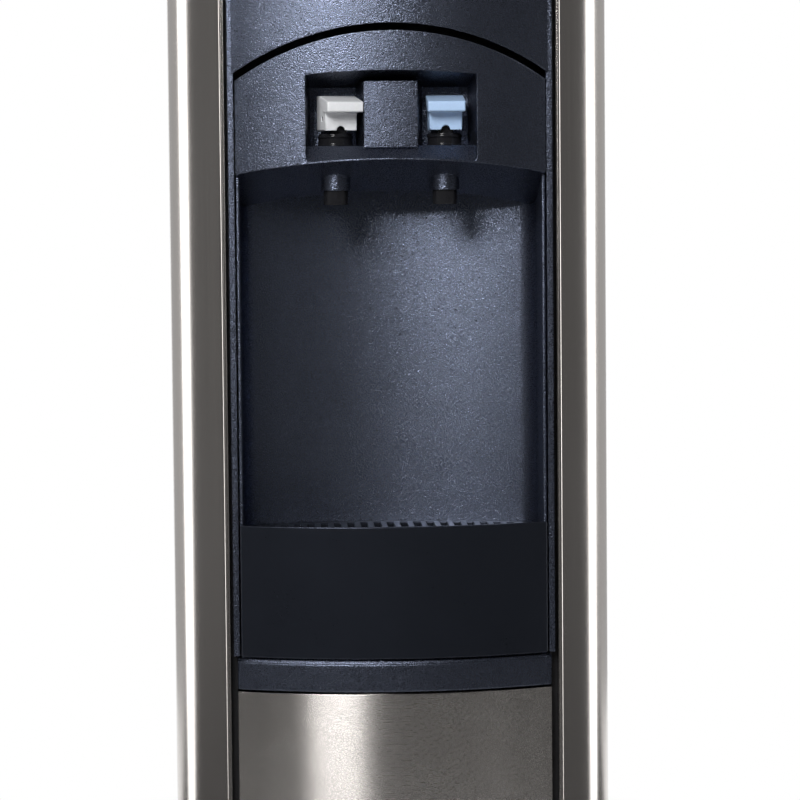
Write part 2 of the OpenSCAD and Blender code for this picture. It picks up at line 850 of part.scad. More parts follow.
module dispense_hood() {
    rear_lip_h = 6;
    rear_lip_drop = 20;
    seat_rim = 1;
    back_proud = hood_back_r + hood_wall - bulge_r;
    color("black") difference() {
        union() {
            difference() {
                hood_outer();
                hood_cavity();
            }
            intersection() {
                hood_outer();
                union() {
                    recess(recess_wall);
                    tap_column(collar_r + 2 * seat_rim);
                    bowed_wall(
                        hood_half, z_roof - rear_lip_drop, rear_lip_drop + rear_lip_h, hood_wall, back_proud
                    );
                }
            }
            tap_column(shroud_r);
        }
        difference() {
            recess(0);
            centre_block(0);
            tap_column(collar_r + seat_rim);
        }
        centre_block(hood_wall);
        for (side = [-1, 1]) {
            translate([side * tap_x, tap_y, z_roof - over])
                cylinder(r = spout_r + seat_gap, h = z_seat - z_roof + 2 * over);
            rod_y(side * tap_x, z_shank, shank_r + seat_gap, tap_y, recess_y + recess_wall + over);
        }
    }
}

// Half-round scoop; its walls run up to the hood's bevel, and its roof starts behind the hood
module alcove_liner() {
    roof_rise = 3;
    roof_z = z_roof + roof_rise;
    bevel_gap = 0.5;
    hood_gap_back = hood_back_r - bulge_r - seat_gap;
    color("black") difference() {
        union() {
            translate([0, 0, shelf_top]) linear_extrude(z_bevel - shelf_top) difference() {
                alcove_plan(-alcove_wall);
                alcove_plan(0);
            }
            intersection() {
                translate([0, 0, roof_z]) linear_extrude(alcove_wall) alcove_plan(-alcove_wall);
                bowed(roof_z, alcove_wall, hood_gap_back);
            }
        }
        difference() {
            above_bevel(-bevel_gap);
            bowed(0, z_top, hood_gap_back);
        }
        translate([0, 0, roof_z + alcove_wall]) intersection() {
            bowed(0, z_top, hood_gap_back);
            block(-cabinet_w, cabinet_w, fascia_y, rear_y, 0, z_top);
        }
    }
}

// Drip tray

module tray_plan(inset) {
    intersection() {
        union() {
            alcove_plan(slide_gap + inset);
            translate([-(tray_side - inset), front_y0])
                square([2 * (tray_side - inset), alcove_y + over - front_y0]);
        }
        translate([0, bulge_y]) circle(bulge_r + tray_proud - inset, $fn = 256);
    }
}

module drip_tray() {
    ledge_z = z_grille - grille_t - ledge_h;
    color("black") {
        difference() {
            translate([0, 0, z_tray]) linear_extrude(z_grille - z_tray) tray_plan(0);
            translate([0, 0, z_tray + tray_wall]) linear_extrude(tray_h) tray_plan(tray_wall);
        }
        translate([0, 0, ledge_z]) linear_extrude(ledge_h) difference() {
            tray_plan(tray_wall - wire_gap);
            tray_plan(tray_wall + ledge_w);
        }
        bowed_wall(tray_half, z_tray, tray_h, tray_wall, tray_proud);
    }
}

module drip_grille() {
    plan_gap = tray_wall + slide_gap;
    slots = floor((tray_side - plan_gap - grille_rim) / slot_pitch);
    rib = 8;
    rib_y = 20;
    lie_gap = 0.2;
    front_run = alcove_y + rib_y - rib / 2 - front_y0;
    color("black") translate([0, 0, z_grille - grille_t]) linear_extrude(grille_t - lie_gap) difference() {
        tray_plan(plan_gap);
        intersection() {
            tray_plan(plan_gap + grille_rim);
            for (i = [-slots : slots]) translate([i * slot_pitch - slot_w / 2, front_y0]) {
                square([slot_w, front_run]);
                translate([0, front_run + rib]) square([slot_w, alcove_depth]);
            }
        }
    }
}

// Taps and levers, each drawn about its own tap axis

module at_tap(side, twist) {
    translate([side * tap_x, tap_y, 0]) rotate([0, 0, twist]) children();
}

module tap_body(side, twist) {
    collar_lip = 1.4;
    lip_out = 0.8;
    shank_wall = 1.6;
    color("black") difference() {
        union() {
            at_tap(side, twist) {
                translate([0, 0, z_seat]) cylinder(r = collar_r - lip_out, h = collar_h);
                translate([0, 0, z_seat]) cylinder(r = collar_r, h = collar_lip);
                translate([0, 0, z_collar - 2 * collar_lip]) cylinder(r = collar_r, h = collar_lip);
                translate([0, 0, z_spout]) cylinder(r = spout_r, h = z_seat - z_spout + over);
                block(-post_half, post_half, -post_front, -post_back, z_collar - over, post_top);
                rod_y(0, lever_lo + stud_gap, stud_r, -post_front - seat_gap, -post_back);
            }
            rod_y(side * tap_x, z_shank, shank_r, tap_y, shank_end);
        }
        at_tap(side, twist) {
            translate([0, 0, z_spout - over]) cylinder(r = orifice_r, h = z_top);
            translate([0, 0, z_valve]) cylinder(r = cavity_r, h = cavity_top - z_valve);
            rod_x(-pin_arm, z_pin, pin_r + run_gap, -post_half - over, post_half + over);
        }
        rod_y(side * tap_x, z_shank, shank_r - shank_wall, tap_y, shank_end + over);
    }
    color("black") at_tap(side, twist) difference() {
        translate([0, 0, cavity_top]) cylinder(r = orifice_r, h = z_collar - cavity_top);
        translate([0, 0, cavity_top - over]) cylinder(r = stem_r + run_gap, h = z_top);
    }
}

module hot_tap_body() {
    tap_body(-1, hot_twist);
}

module cold_tap_body() {
    tap_body(1, cold_twist);
}

// The paddle's top falls from the body's back half to the front face
function lever_top(d) = lever_hi - paddle_fall * (d - paddle_root) / (paddle_reach - paddle_root);

module lever(side, twist) {
    inner = lever_w / 2 - lever_wall;
    roof = 3;
    ledge_gap = 2.4;
    face_lo = lever_hi - paddle_fall - paddle_face_h;
    at_tap(side, twist) difference() {
        union() {
            side_prism(-lever_w / 2, lever_w / 2) polygon([
                [lever_back, lever_lo], [lever_back, lever_hi], [-paddle_root, lever_hi],
                [-lever_front, lever_top(lever_front)], [-lever_front, lever_lo]
            ]);
            side_prism(-paddle_w / 2, paddle_w / 2) polygon([
                [-paddle_root, lever_hi], [-paddle_reach, lever_hi - paddle_fall], [-paddle_reach, face_lo],
                [-lever_front, face_lo], [-paddle_root, lever_hi - roof]
            ]);
        }
        difference() {
            block(
                -inner, inner, -lever_front + lever_wall, lever_back + over,
                lever_lo - over, lever_hi - roof
            );
            for (ledge = [0, 1]) mirror([ledge, 0, 0])
                block(
                    stem_r + ledge_gap, inner + over, -lift_ledge_half, lift_ledge_half,
                    lift_ledge_top - lift_ledge_h, lift_ledge_top
                );
        }
        rod_y(0, lever_lo, notch_r, -lever_front - over, -lever_front + lever_wall + over);
        rod_x(-pin_arm, z_pin, pin_r + run_gap / 2, -lever_w, lever_w);
    }
}

module hot_lever() {
    color("whitesmoke") lever(-1, hot_twist);
}

module cold_lever() {
    color("lightskyblue") lever(1, cold_twist);
}

module lever_pin(side, twist) {
    end_gap = 0.4;
    color("silver") at_tap(side, twist)
        rod_x(-pin_arm, z_pin, pin_r, -lever_w / 2 + end_gap, lever_w / 2 - end_gap);
}

module hot_lever_pin() {
    lever_pin(-1, hot_twist);
}

module cold_lever_pin() {
    lever_pin(1, cold_twist);
}

// Valve stem with its washer at the foot and the head that the lever lifts
module stem(side, twist) {
    color("gainsboro") at_tap(side, twist) {
        translate([0, 0, z_valve + seat_gap]) cylinder(r = cavity_r - valve_gap, h = valve_h);
        translate([0, 0, z_valve + seat_gap]) cylinder(r = stem_r, h = z_stem_head - z_valve);
        translate([0, 0, z_stem_head]) cylinder(r = stem_head_r, h = stem_head_h);
    }
}

module hot_stem() {
    stem(-1, hot_twist);
}

module cold_stem() {
    stem(1, cold_twist);
}

// Return spring over the washer: one unbroken wire swept along a helix
spring_wire = 0.55;
spring_r = stem_r + spring_wire + 0.5;
spring_turns = 6;
spring_rings = 12;
spring_sides = 6;
spring_z0 = z_valve + seat_gap + valve_h + spring_wire + wire_gap;
spring_z1 = cavity_top - spring_wire - wire_gap;

function spring_point(i, k) =
    let (
        turn = 360 * i / spring_rings,
        r = spring_r + spring_wire * cos(360 * k / spring_sides),
        rise = (spring_z1 - spring_z0) * i / (spring_turns * spring_rings)
    )
    [r * cos(turn), r * sin(turn), spring_z0 + rise + spring_wire * sin(360 * k / spring_sides)];

module spring(side) {
    rings = spring_turns * spring_rings;
    points = [for (i = [0 : rings], k = [0 : spring_sides - 1]) spring_point(i, k)];
    walls = [
        for (i = [0 : rings - 1], k = [0 : spring_sides - 1], half = [0, 1])
            let (
                a = i * spring_sides + k,
                b = i * spring_sides + (k + 1) % spring_sides,
                c = a + spring_sides,
                d = b + spring_sides
            )
            half == 0 ? [a, b, d] : [a, d, c]
    ];
    first = [for (k = [1 : spring_sides - 2]) [0, k + 1, k]];
    last_ring = rings * spring_sides;
    last = [for (k = [1 : spring_sides - 2]) [last_ring, last_ring + k, last_ring + k + 1]];
    color("silver") at_tap(side, 0) polyhedron(points, concat(walls, first, last));
}

module hot_spring() {
    spring(-1);
}

module cold_spring() {
    spring(1);
}

module tap_nuts() {
    nut_y = recess_y + recess_wall;
    color("goldenrod") for (side = [-1, 1]) difference() {
        translate([side * tap_x, nut_y, z_shank]) rotate([-90, 0, 0])
            cylinder(r = nut_r, h = nut_h, $fn = 6);
        rod_y(side * tap_x, z_shank, shank_r + run_gap, nut_y - over, nut_y + nut_h + over);
    }
}

// Tanks behind the alcove

module tank_deck() {
    color("dimgray") difference() {
        union() {
            block(-side_in, side_in, deck_y0, rear_in - sheet_t - seat_gap, deck_z - deck_t, deck_z);
            for (side = [0, 1]) mirror([side, 0, 0])
                block(
                    side_in - deck_t, side_in, deck_y0, rear_in - sheet_t - seat_gap,
                    deck_z - deck_flange, deck_z
                );
        }
        for (x = [cold_x, transfer_x, drain_x])
            translate([x, tank_y, deck_z - deck_flange])
                cylinder(r = tube_r + hole_gap, h = 2 * deck_flange);
    }
}

module tank(x, r) {
    color("silver") translate([x, tank_y, tank_z]) cylinder(r = r, h = tank_h);
}

module jacket(x, r, foam, feed_x, floor_holes) {
    color("khaki") difference() {
        translate([x, tank_y, deck_z]) cylinder(r = r + foam, h = jacket_floor + tank_h);
        translate([x, tank_y, tank_z]) cylinder(r = r + wire_gap, h = tank_h + over);
        rod_y(feed_x, z_shank, tube_r + hole_gap, tank_y - r - foam - over, tank_y);
        for (hole_x = floor_holes)
            translate([hole_x, tank_y, deck_z - over])
                cylinder(r = tube_r + hole_gap, h = jacket_floor + 2 * over);
    }
}

module cold_tank() {
    tank(cold_x, cold_r);
}

module cold_tank_jacket() {
    jacket(cold_x, cold_r, cold_foam, cold_x, [cold_x]);
}

module cold_tank_lid() {
    color("white") translate([cold_x, tank_y, tank_top]) {
        cylinder(r = cold_r + cold_foam / 2, h = lid_h);
        cylinder(r = 2 * tube_r, h = 2 * lid_h);
    }
}

module hot_tank() {
    tank(hot_x, hot_r);
}

module hot_tank_jacket() {
    jacket(hot_x, hot_r, hot_foam, hot_x, [transfer_x, drain_x]);
}

module heater_band() {
    ring = 4;
    ring_h = 6;
    post_h = 22;
    ring_r = hot_r - ring;
    color("darkgray") translate([hot_x, tank_y, tank_top]) {
        difference() {
            cylinder(r = ring_r, h = ring_h);
            translate([0, 0, -over]) cylinder(r = ring_r - 2 * ring, h = ring_h + 2 * over);
        }
        for (x = [-1, 1]) translate([x * (ring_r - ring), 0, 0]) cylinder(r = ring - over, h = post_h);
    }
}

module thermostats() {
    disc_r = hot_r * 0.2;
    disc_h = 7;
    color("ivory") for (y = [-1, 1]) translate([hot_x, tank_y + y * hot_r * 0.35, tank_top]) {
        cylinder(r = disc_r, h = disc_h);
        cylinder(r = disc_r / 2, h = 2 * disc_h);
    }
}

// Plumbing

module water_inlet() {
    flange_r = 11;
    flange_t = 5;
    color("white") difference() {
        union() {
            rod_y(inlet_x, inlet_z, inlet_thread_r, rear_in - inlet_fitting_in, rear_y + inlet_fitting_out);
            rod_y(inlet_x, inlet_z, flange_r, rear_y, rear_y + flange_t);
            rod_y(inlet_x, inlet_z, flange_r, rear_in - flange_t, rear_in);
        }
        rod_y(
            inlet_x, inlet_z, inlet_bore_r,
            rear_in - inlet_fitting_in - over, rear_y + inlet_fitting_out + over
        );
    }
}

module inlet_valve() {
    coil_r = 13;
    coil_h = 30;
    body_r = 9;
    stand = 6;
    seat = body_r - 2 * over;
    color("white") {
        difference() {
            rod_y(inlet_x, inlet_z, body_r, valve_y - valve_len / 2, valve_y + valve_len / 2);
            rod_y(inlet_x, inlet_z, tube_r - over, valve_y - valve_len, valve_y + valve_len);
        }
        translate([inlet_x, valve_y, inlet_z + seat]) cylinder(r = coil_r, h = coil_h);
        block(inlet_x - stand, inlet_x + stand, valve_y - stand, valve_y + stand, base_top, inlet_z - seat);
    }
}

module drain_outlet() {
    flange_r = drain_thread_r * 1.5;
    color("black") difference() {
        union() {
            rod_y(drain_x, drain_z, drain_thread_r, rear_in - drain_in, rear_y + drain_len);
            rod_y(drain_x, drain_z, flange_r, rear_y, rear_y + drain_flange);
            rod_y(drain_x, drain_z, flange_r, rear_in - drain_flange, rear_in);
        }
        rod_y(drain_x, drain_z, tube_r, rear_in - drain_in - over, rear_y + drain_len + over);
    }
}

module drain_cap() {
    cap_wall = 3;
    cap_r = drain_thread_r + cap_wall;
    ribs = 18;
    rib_r = 0.8;
    cap_y = rear_y + drain_flange + seat_gap;
    cap_end = rear_y + drain_len + cap_wall;
    color("black") difference() {
        union() {
            rod_y(drain_x, drain_z, cap_r, cap_y, cap_end);
            for (i = [0 : ribs - 1])
                rod_y(
                    drain_x + cap_r * cos(360 * i / ribs), drain_z + cap_r * sin(360 * i / ribs), rib_r,
                    cap_y, cap_end - over
                );
        }
        rod_y(drain_x, drain_z, drain_thread_r + seat_gap, cap_y - over, rear_y + drain_len + seat_gap);
    }
}

module water_tubes() {
    head_z = rail_z + rail_h / 2;
    head_back = head_y + head_r + seat_gap;
    riser_gap = 10;
    riser_y = head_back + riser_gap + tube_r;
    head_top = head_z + head_h / 2;
    pass_z = head_top + 2 * riser_gap;
    top_z = tank_top + 4 * lid_h;
    color("gainsboro") {
        rod_y(
            inlet_x, inlet_z, tube_r,
            valve_y + valve_len / 2 + seat_gap, rear_in - inlet_fitting_in - seat_gap
        );
        tube_run([
            [inlet_x, valve_y - valve_len / 2 - seat_gap, inlet_z], [inlet_x, riser_y, inlet_z],
            [inlet_x, riser_y, head_z], [sediment_x, head_back, head_z]
        ], tube_r);
        rod_x(head_y, head_z, tube_r, sediment_x + head_r + seat_gap, carbon_x - head_r - seat_gap);
        tube_run([
            [carbon_x, head_y, head_top + seat_gap], [carbon_x, head_y, pass_z],
            [carbon_x, feed_y, pass_z], [carbon_x, feed_y, top_z],
            [cold_x, feed_y, top_z], [cold_x, tank_y, top_z],
            [cold_x, tank_y, tank_top + 2 * lid_h + seat_gap]
        ], tube_r);
        tube_run([
            [tap_x, shank_end + seat_gap, z_shank], [tap_x, feed_y, z_shank], [cold_x, feed_y, z_shank],
            [cold_x, tank_y - cold_r - seat_gap, z_shank]
        ], tube_r);
        tube_run([
            [-tap_x, shank_end + seat_gap, z_shank], [-tap_x, feed_y, z_shank], [hot_x, feed_y, z_shank],
            [hot_x, tank_y - hot_r - seat_gap, z_shank]
        ], tube_r);
        tube_run([
            [cold_x, tank_y, tank_z - seat_gap], [cold_x, tank_y, transfer_z],
            [transfer_x, tank_y, transfer_z], [transfer_x, tank_y, tank_z - seat_gap]
        ], tube_r);
        tube_run([
            [drain_x, tank_y, tank_z - seat_gap], [drain_x, tank_y, drain_z],
            [drain_x, rear_in - drain_in - seat_gap, drain_z]
        ], tube_r);
    }
}

module filter_rail() {
    color("dimgray") block(-rail_half, rail_half, rail_y, rail_y + rail_t, rail_z, rail_z + rail_h);
}

module filter_heads() {
    arm = 12;
    arm_gap = 2;
    color("white") for (x = [sediment_x, carbon_x]) {
        translate([x, head_y, rail_z + rail_h / 2 - head_h / 2]) cylinder(r = head_r, h = head_h);
        block(x - arm, x + arm, rail_y + rail_t, head_y, rail_z + arm_gap, rail_z + rail_h - arm_gap);
    }
}

module cartridge(x) {
    dome = 12;
    top = rail_z + rail_h / 2 - head_h / 2;
    translate([x, head_y, top - cartridge_h]) {
        translate([0, 0, dome]) cylinder(r = cartridge_r, h = cartridge_h - dome);
        cylinder(r1 = cartridge_r - dome, r2 = cartridge_r, h = dome);
    }
}

module sediment_cartridge() {
    color("white") cartridge(sediment_x);
}

module carbon_cartridge() {
    color("steelblue") cartridge(carbon_x);
}

// Cooling system

module compressor() {
    color("black") {
        translate([compressor_x, compressor_y, compressor_z]) {
            translate([0, 0, dome_h / 2]) cylinder(r = compressor_r, h = compressor_h);
            cylinder(r1 = compressor_r - dome_h, r2 = compressor_r, h = dome_h / 2);
            translate([0, 0, compressor_h + dome_h / 2])
                cylinder(r1 = compressor_r, r2 = compressor_r - dome_h, h = dome_h / 2);
        }
        difference() {
            translate([0, 0, base_top + grommet_h])
                for (turn = [45, -45])
                    translate([compressor_x, compressor_y, 0]) rotate([0, 0, turn])
                        block(
                            -compressor_reach, compressor_reach, -compressor_arm, compressor_arm,
                            0, foot_plate
                        );
            for (x = [-1, 1], y = [-1, 1])
                translate([compressor_x + x * compressor_foot, compressor_y + y * compressor_foot, 0])
                    cylinder(r = bolt_r + seat_gap, h = z_top);
        }
    }
}

module compressor_grommets() {
    color("black") for (x = [-1, 1], y = [-1, 1])
        translate([compressor_x + x * compressor_foot, compressor_y + y * compressor_foot, base_top])
            difference() {
                cylinder(r = grommet_r, h = grommet_h);
                translate([0, 0, -over]) cylinder(r = bolt_r + wire_gap, h = grommet_h + 2 * over);
            }
}

module compressor_bolts() {
    head = 4;
    shaft = base_t + grommet_h + foot_plate;
    color("silver") for (x = [-1, 1], y = [-1, 1])
        translate([compressor_x + x * compressor_foot, compressor_y + y * compressor_foot, z_plinth]) {
            cylinder(r = bolt_r, h = shaft);
            translate([0, 0, shaft]) cylinder(r = 2 * bolt_r, h = head, $fn = 6);
        }
}

module condenser_coil() {
    color("black") translate([condenser_x, condenser_y, 0]) for (i = [0 : condenser_passes - 1]) {
        z = condenser_top - i * condenser_pitch;
        side = i % 2 == 0 ? -1 : 1;
        rod_x(0, z, condenser_r, -condenser_half, condenser_half);
        if (i < condenser_passes - 1) translate([side * condenser_half, 0, z - bend_r])
            rotate([90, side * 90, 0]) rotate_extrude(angle = 180) translate([bend_r, 0]) circle(condenser_r);
    }
}

module condenser_wires() {
    wire_y = condenser_y + condenser_r + wire_gap + wire_r;
    ends = 12;
    span = 2 * (condenser_half - ends);
    color("black") for (i = [0 : wire_count - 1])
        translate([condenser_x - span / 2 + i * span / (wire_count - 1), wire_y, condenser_bottom - ends])
            cylinder(r = wire_r, h = condenser_top - condenser_bottom + 2 * ends, $fn = 16);
}

module condenser_brackets() {
    width = 14;
    thick = 2;
    end_gap = 20;
    reach = condenser_stand - condenser_r - wire_gap;
    color("dimgray") for (x = [-1, 1], i = [1, condenser_passes - 2]) {
        z = condenser_top - i * condenser_pitch;
        translate([condenser_x + x * (condenser_half - end_gap), rear_y, z]) {
            block(-width / 2, width / 2, 0, thick, -width, width);
            block(-width / 2, width / 2, 0, reach, -thick / 2, thick / 2);
            block(-width / 2, width / 2, reach - thick, reach, -condenser_r - thick, condenser_r + thick);
        }
    }
}

module filter_drier() {
    color("peru") translate([drier_x, condenser_y, drier_top - drier_h]) {
        cylinder(r1 = condenser_r, r2 = drier_r, h = drier_r);
        translate([0, 0, drier_r]) cylinder(r = drier_r, h = drier_h - 2 * drier_r);
        translate([0, 0, drier_h - drier_r]) cylinder(r1 = drier_r, r2 = condenser_r, h = drier_r);
    }
}

module refrigerant_lines() {
    riser_y = rear_in - 14;
    color("peru") {
        tube_run([
            [compressor_x + compressor_r, compressor_y, discharge_z], [discharge_x, compressor_y, discharge_z],
            [discharge_x, condenser_y, discharge_z], [discharge_x, condenser_y, condenser_top],
            [condenser_end + wire_gap, condenser_y, condenser_top]
        ], condenser_r);
        tube_run([
            [condenser_end + wire_gap, condenser_y, condenser_bottom], [drier_x, condenser_y, condenser_bottom],
            [drier_x, condenser_y, drier_top + wire_gap]
        ], condenser_r);
        tube_run([
            [drier_x, condenser_y, drier_top - drier_h - wire_gap], [drier_x, condenser_y, capillary_z],
            [drier_x, riser_y, capillary_z], [drier_x, riser_y, deck_z - deck_t - wire_gap]
        ], condenser_r * 0.8);
    }
}

// Electrics

module control_box() {
    box_w = 46;
    box_d = 90;
    box_h = 130;
    box_rise = 40;
    box_z = base_top + base_lip + box_rise;
    color("gray") block(-side_in, -side_in + box_w, tank_y - box_d, tank_y, box_z, box_z + box_h);
}

module power_inlet() {
    flange = 3;
    wall = 2;
    body_d = 24;
    blade = 2;
    blade_h = 5;
    blade_pitch = 7;
    blade_short = 4;
    earth_rise = 3;
    color("black") {
        difference() {
            union() {
                block(
                    service_x - power_w / 2, service_x + power_w / 2, rear_in - body_d, rear_y + over,
                    power_z - power_h / 2, power_z + power_h / 2
                );
                block(
                    service_x - power_w / 2 - flange, service_x + power_w / 2 + flange,
                    rear_y, rear_y + frame_t,
                    power_z - power_h / 2 - flange, power_z + power_h / 2 + flange
                );
            }
            block(
                service_x - power_w / 2 + wall, service_x + power_w / 2 - wall,
                rear_in - body_d + wall, rear_y + frame_t + over,
                power_z - power_h / 2 + wall, power_z + power_h / 2 - wall
            );
        }
        for (i = [-1 : 1])
            translate([service_x + i * blade_pitch, 0, power_z + (i == 0 ? earth_rise : -over)])
                block(-blade / 2, blade / 2, rear_in - body_d, rear_y - blade_short, -blade_h / 2, blade_h / 2);
    }
}

module switch_frames() {
    flange = 2.5;
    wall = 1.5;
    body_d = 16;
    color("black") for (i = [0, 1]) translate([service_x, 0, switch_z - i * switch_pitch]) difference() {
        union() {
            block(-switch_w / 2, switch_w / 2, rear_in - body_d, rear_y + over, -switch_h / 2, switch_h / 2);
            block(
                -switch_w / 2 - flange, switch_w / 2 + flange, rear_y, rear_y + frame_t,
                -switch_h / 2 - flange, switch_h / 2 + flange
            );
        }
        block(
            -switch_w / 2 + wall, switch_w / 2 - wall, rear_in - body_d + wall, rear_y + frame_t + over,
            -switch_h / 2 + wall, switch_h / 2 - wall
        );
    }
}

// Rocker with two flat faces that meet over its hinge axis, drawn in its off position
module rocker(z) {
    wall = 1.5;
    side_gap = 0.4;
    end_gap = 0.9;
    half_w = switch_w / 2 - wall - side_gap;
    half_h = switch_h / 2 - wall - end_gap;
    face = 3.2;
    fall = 1.6;
    depth_in = 6;
    translate([service_x, rear_y, z]) rotate([rocker_tilt, 0, 0]) side_prism(-half_w, half_w) polygon([
        [face - fall, 0], [face, half_h], [-depth_in / 3, half_h], [-depth_in, 0],
        [-depth_in / 3, -half_h], [face, -half_h]
    ]);
}

module hot_switch() {
    color("firebrick") rocker(switch_z);
}

module cold_switch() {
    color("seagreen") rocker(switch_z - switch_pitch);
}

base_pan();
feet();
left_side_panel();
right_side_panel();
front_posts();
rear_panel();
top_cover();
fascia();
dispense_hood();
alcove_liner();
drip_tray();
drip_grille();
tray_shelf();
lower_front_panel();
front_plinth();
indicator_lenses();
hot_tap_body();
cold_tap_body();
hot_lever();
cold_lever();
hot_lever_pin();
cold_lever_pin();
hot_stem();
cold_stem();
hot_spring();
cold_spring();
tap_nuts();
tank_deck();
cold_tank();
cold_tank_jacket();
cold_tank_lid();
hot_tank();
hot_tank_jacket();
heater_band();
thermostats();
water_inlet();
inlet_valve();
drain_outlet();
drain_cap();
water_tubes();
filter_rail();
filter_heads();
sediment_cartridge();
carbon_cartridge();
compressor();
compressor_grommets();
compressor_bolts();
condenser_coil();
condenser_wires();
condenser_brackets();
filter_drier();
refrigerant_lines();
control_box();
power_inlet();
switch_frames();
hot_switch();
cold_switch();
rear_screws();
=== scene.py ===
"""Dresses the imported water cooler: rounded edges, moulded and brushed finishes, studio stage and camera."""
import json
import math

import bmesh
import bpy
from bpy.props import FloatProperty, FloatVectorProperty, IntProperty, PointerProperty
from mathutils import Matrix, Vector


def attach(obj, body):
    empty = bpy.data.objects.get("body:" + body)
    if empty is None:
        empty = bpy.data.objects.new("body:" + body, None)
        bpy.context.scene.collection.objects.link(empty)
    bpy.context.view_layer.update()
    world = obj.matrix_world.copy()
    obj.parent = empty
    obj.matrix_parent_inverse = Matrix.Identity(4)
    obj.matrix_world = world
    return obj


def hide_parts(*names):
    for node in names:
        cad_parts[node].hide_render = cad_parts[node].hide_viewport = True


bl_info = {
    "name": "Water cooler dresser",
    "version": (1, 0, 0),
    "blender": (4, 5, 0),
    "location": "View3D > Sidebar > Cooler",
    "description": "Finishes and stage for a point-of-use water cooler",
    "category": "Object",
}

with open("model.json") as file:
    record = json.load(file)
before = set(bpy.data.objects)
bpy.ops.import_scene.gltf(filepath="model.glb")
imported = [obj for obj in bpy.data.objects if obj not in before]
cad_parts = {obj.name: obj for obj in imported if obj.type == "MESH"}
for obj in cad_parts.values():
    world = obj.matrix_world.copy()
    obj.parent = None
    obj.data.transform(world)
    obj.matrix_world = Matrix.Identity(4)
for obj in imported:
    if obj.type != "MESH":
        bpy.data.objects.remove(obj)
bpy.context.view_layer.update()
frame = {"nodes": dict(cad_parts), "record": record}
NODES = frame["nodes"]
BODY_OF = {node: body for body, nodes in frame["record"]["behaviour"]["bodies"].items() for node in nodes}
SLOT_OF = {part["node"]: part["material_slot"] for part in frame["record"]["subparts"]}
MM = 0.001


def colour_prop(name, description, default):
    return FloatVectorProperty(
        name=name, description=description, default=default, subtype="COLOR", size=3, min=0.0, max=1.0
    )


def length_prop(name, description, default):
    return FloatProperty(name=name, description=description, default=default, unit="LENGTH", min=0.0)


def angle_prop(name, description, degrees):
    return FloatProperty(name=name, description=description, default=math.radians(degrees), subtype="ANGLE")


class CoolerColours(bpy.types.PropertyGroup):
    """Colours of the cooler's finishes, linear."""

    steel: colour_prop("Steel", "Brushed stainless sheet", (0.70, 0.66, 0.63))
    fascia: colour_prop("Fascia", "Grained black moulding", (0.0078, 0.0085, 0.0115))
    tray: colour_prop("Tray", "Satin black tray moulding", (0.008, 0.009, 0.012))
    glint: colour_prop("Glint", "Tint of the black mouldings' shine", (0.64, 0.73, 1.0))
    gloss: colour_prop("Gloss", "Glossy black tap moulding", (0.012, 0.012, 0.014))
    hot: colour_prop("Hot lever", "White lever", (0.80, 0.81, 0.83))
    cold: colour_prop("Cold lever", "Blue lever", (0.43, 0.59, 0.83))
    zinc: colour_prop("Zinc", "Coated inner steel", (0.42, 0.43, 0.44))
    white: colour_prop("White plastic", "Fittings and filter heads", (0.78, 0.78, 0.75))
    foam: colour_prop("Foam", "Tank jackets", (0.72, 0.66, 0.50))
    copper: colour_prop("Copper", "Refrigerant lines", (0.72, 0.40, 0.26))
    brass: colour_prop("Brass", "Tap nuts", (0.72, 0.55, 0.28))
    background: colour_prop("Background", "Studio background", (1.0, 1.0, 1.0))


class CoolerSizes(bpy.types.PropertyGroup):
    """Edge radii and grain sizes."""

    sheet_edge: length_prop("Sheet edge", "Rounding of steel sheet edges", 0.25 * MM)
    mould_edge: length_prop("Moulded edge", "Rounding of moulded edges", 0.9 * MM)
    soft_edge: length_prop("Soft edge", "Softened width of grained edges", 1.1 * MM)
    lever_edge: length_prop("Lever edge", "Rounding of the levers' edges", 1.3 * MM)
    small_edge: length_prop("Small edge", "Rounding of small fittings", 0.3 * MM)
    grain: length_prop("Grain", "Size of the pebbled grain", 0.95 * MM)
    brush: length_prop("Brush", "Width of a brush line", 0.25 * MM)
    rounding: IntProperty(name="Rounding", description="Segments across an edge", default=3, min=1, max=6)


class CoolerStage(bpy.types.PropertyGroup):
    """Camera and studio light."""

    lens: FloatProperty(name="Lens", description="Focal length", default=133.3, unit="CAMERA")
    place: FloatVectorProperty(
        name="Place", description="Camera's place", default=(-0.087, -2.207, 0.794), subtype="TRANSLATION"
    )
    yaw: angle_prop("Yaw", "Turn to the right", 2.56)
    pitch: angle_prop("Pitch", "Tilt down", 3.57)
    roll: angle_prop("Roll", "Turn about the view", -0.51)
    key: FloatProperty(name="Key light", description="Power of the raised light", default=46.0, unit="POWER")
    side: FloatProperty(name="Side lights", description="Power of a side strip", default=6.0, unit="POWER")
    ambient: FloatProperty(name="Ambient", description="Level of the soft fill", default=0.07, min=0.0)


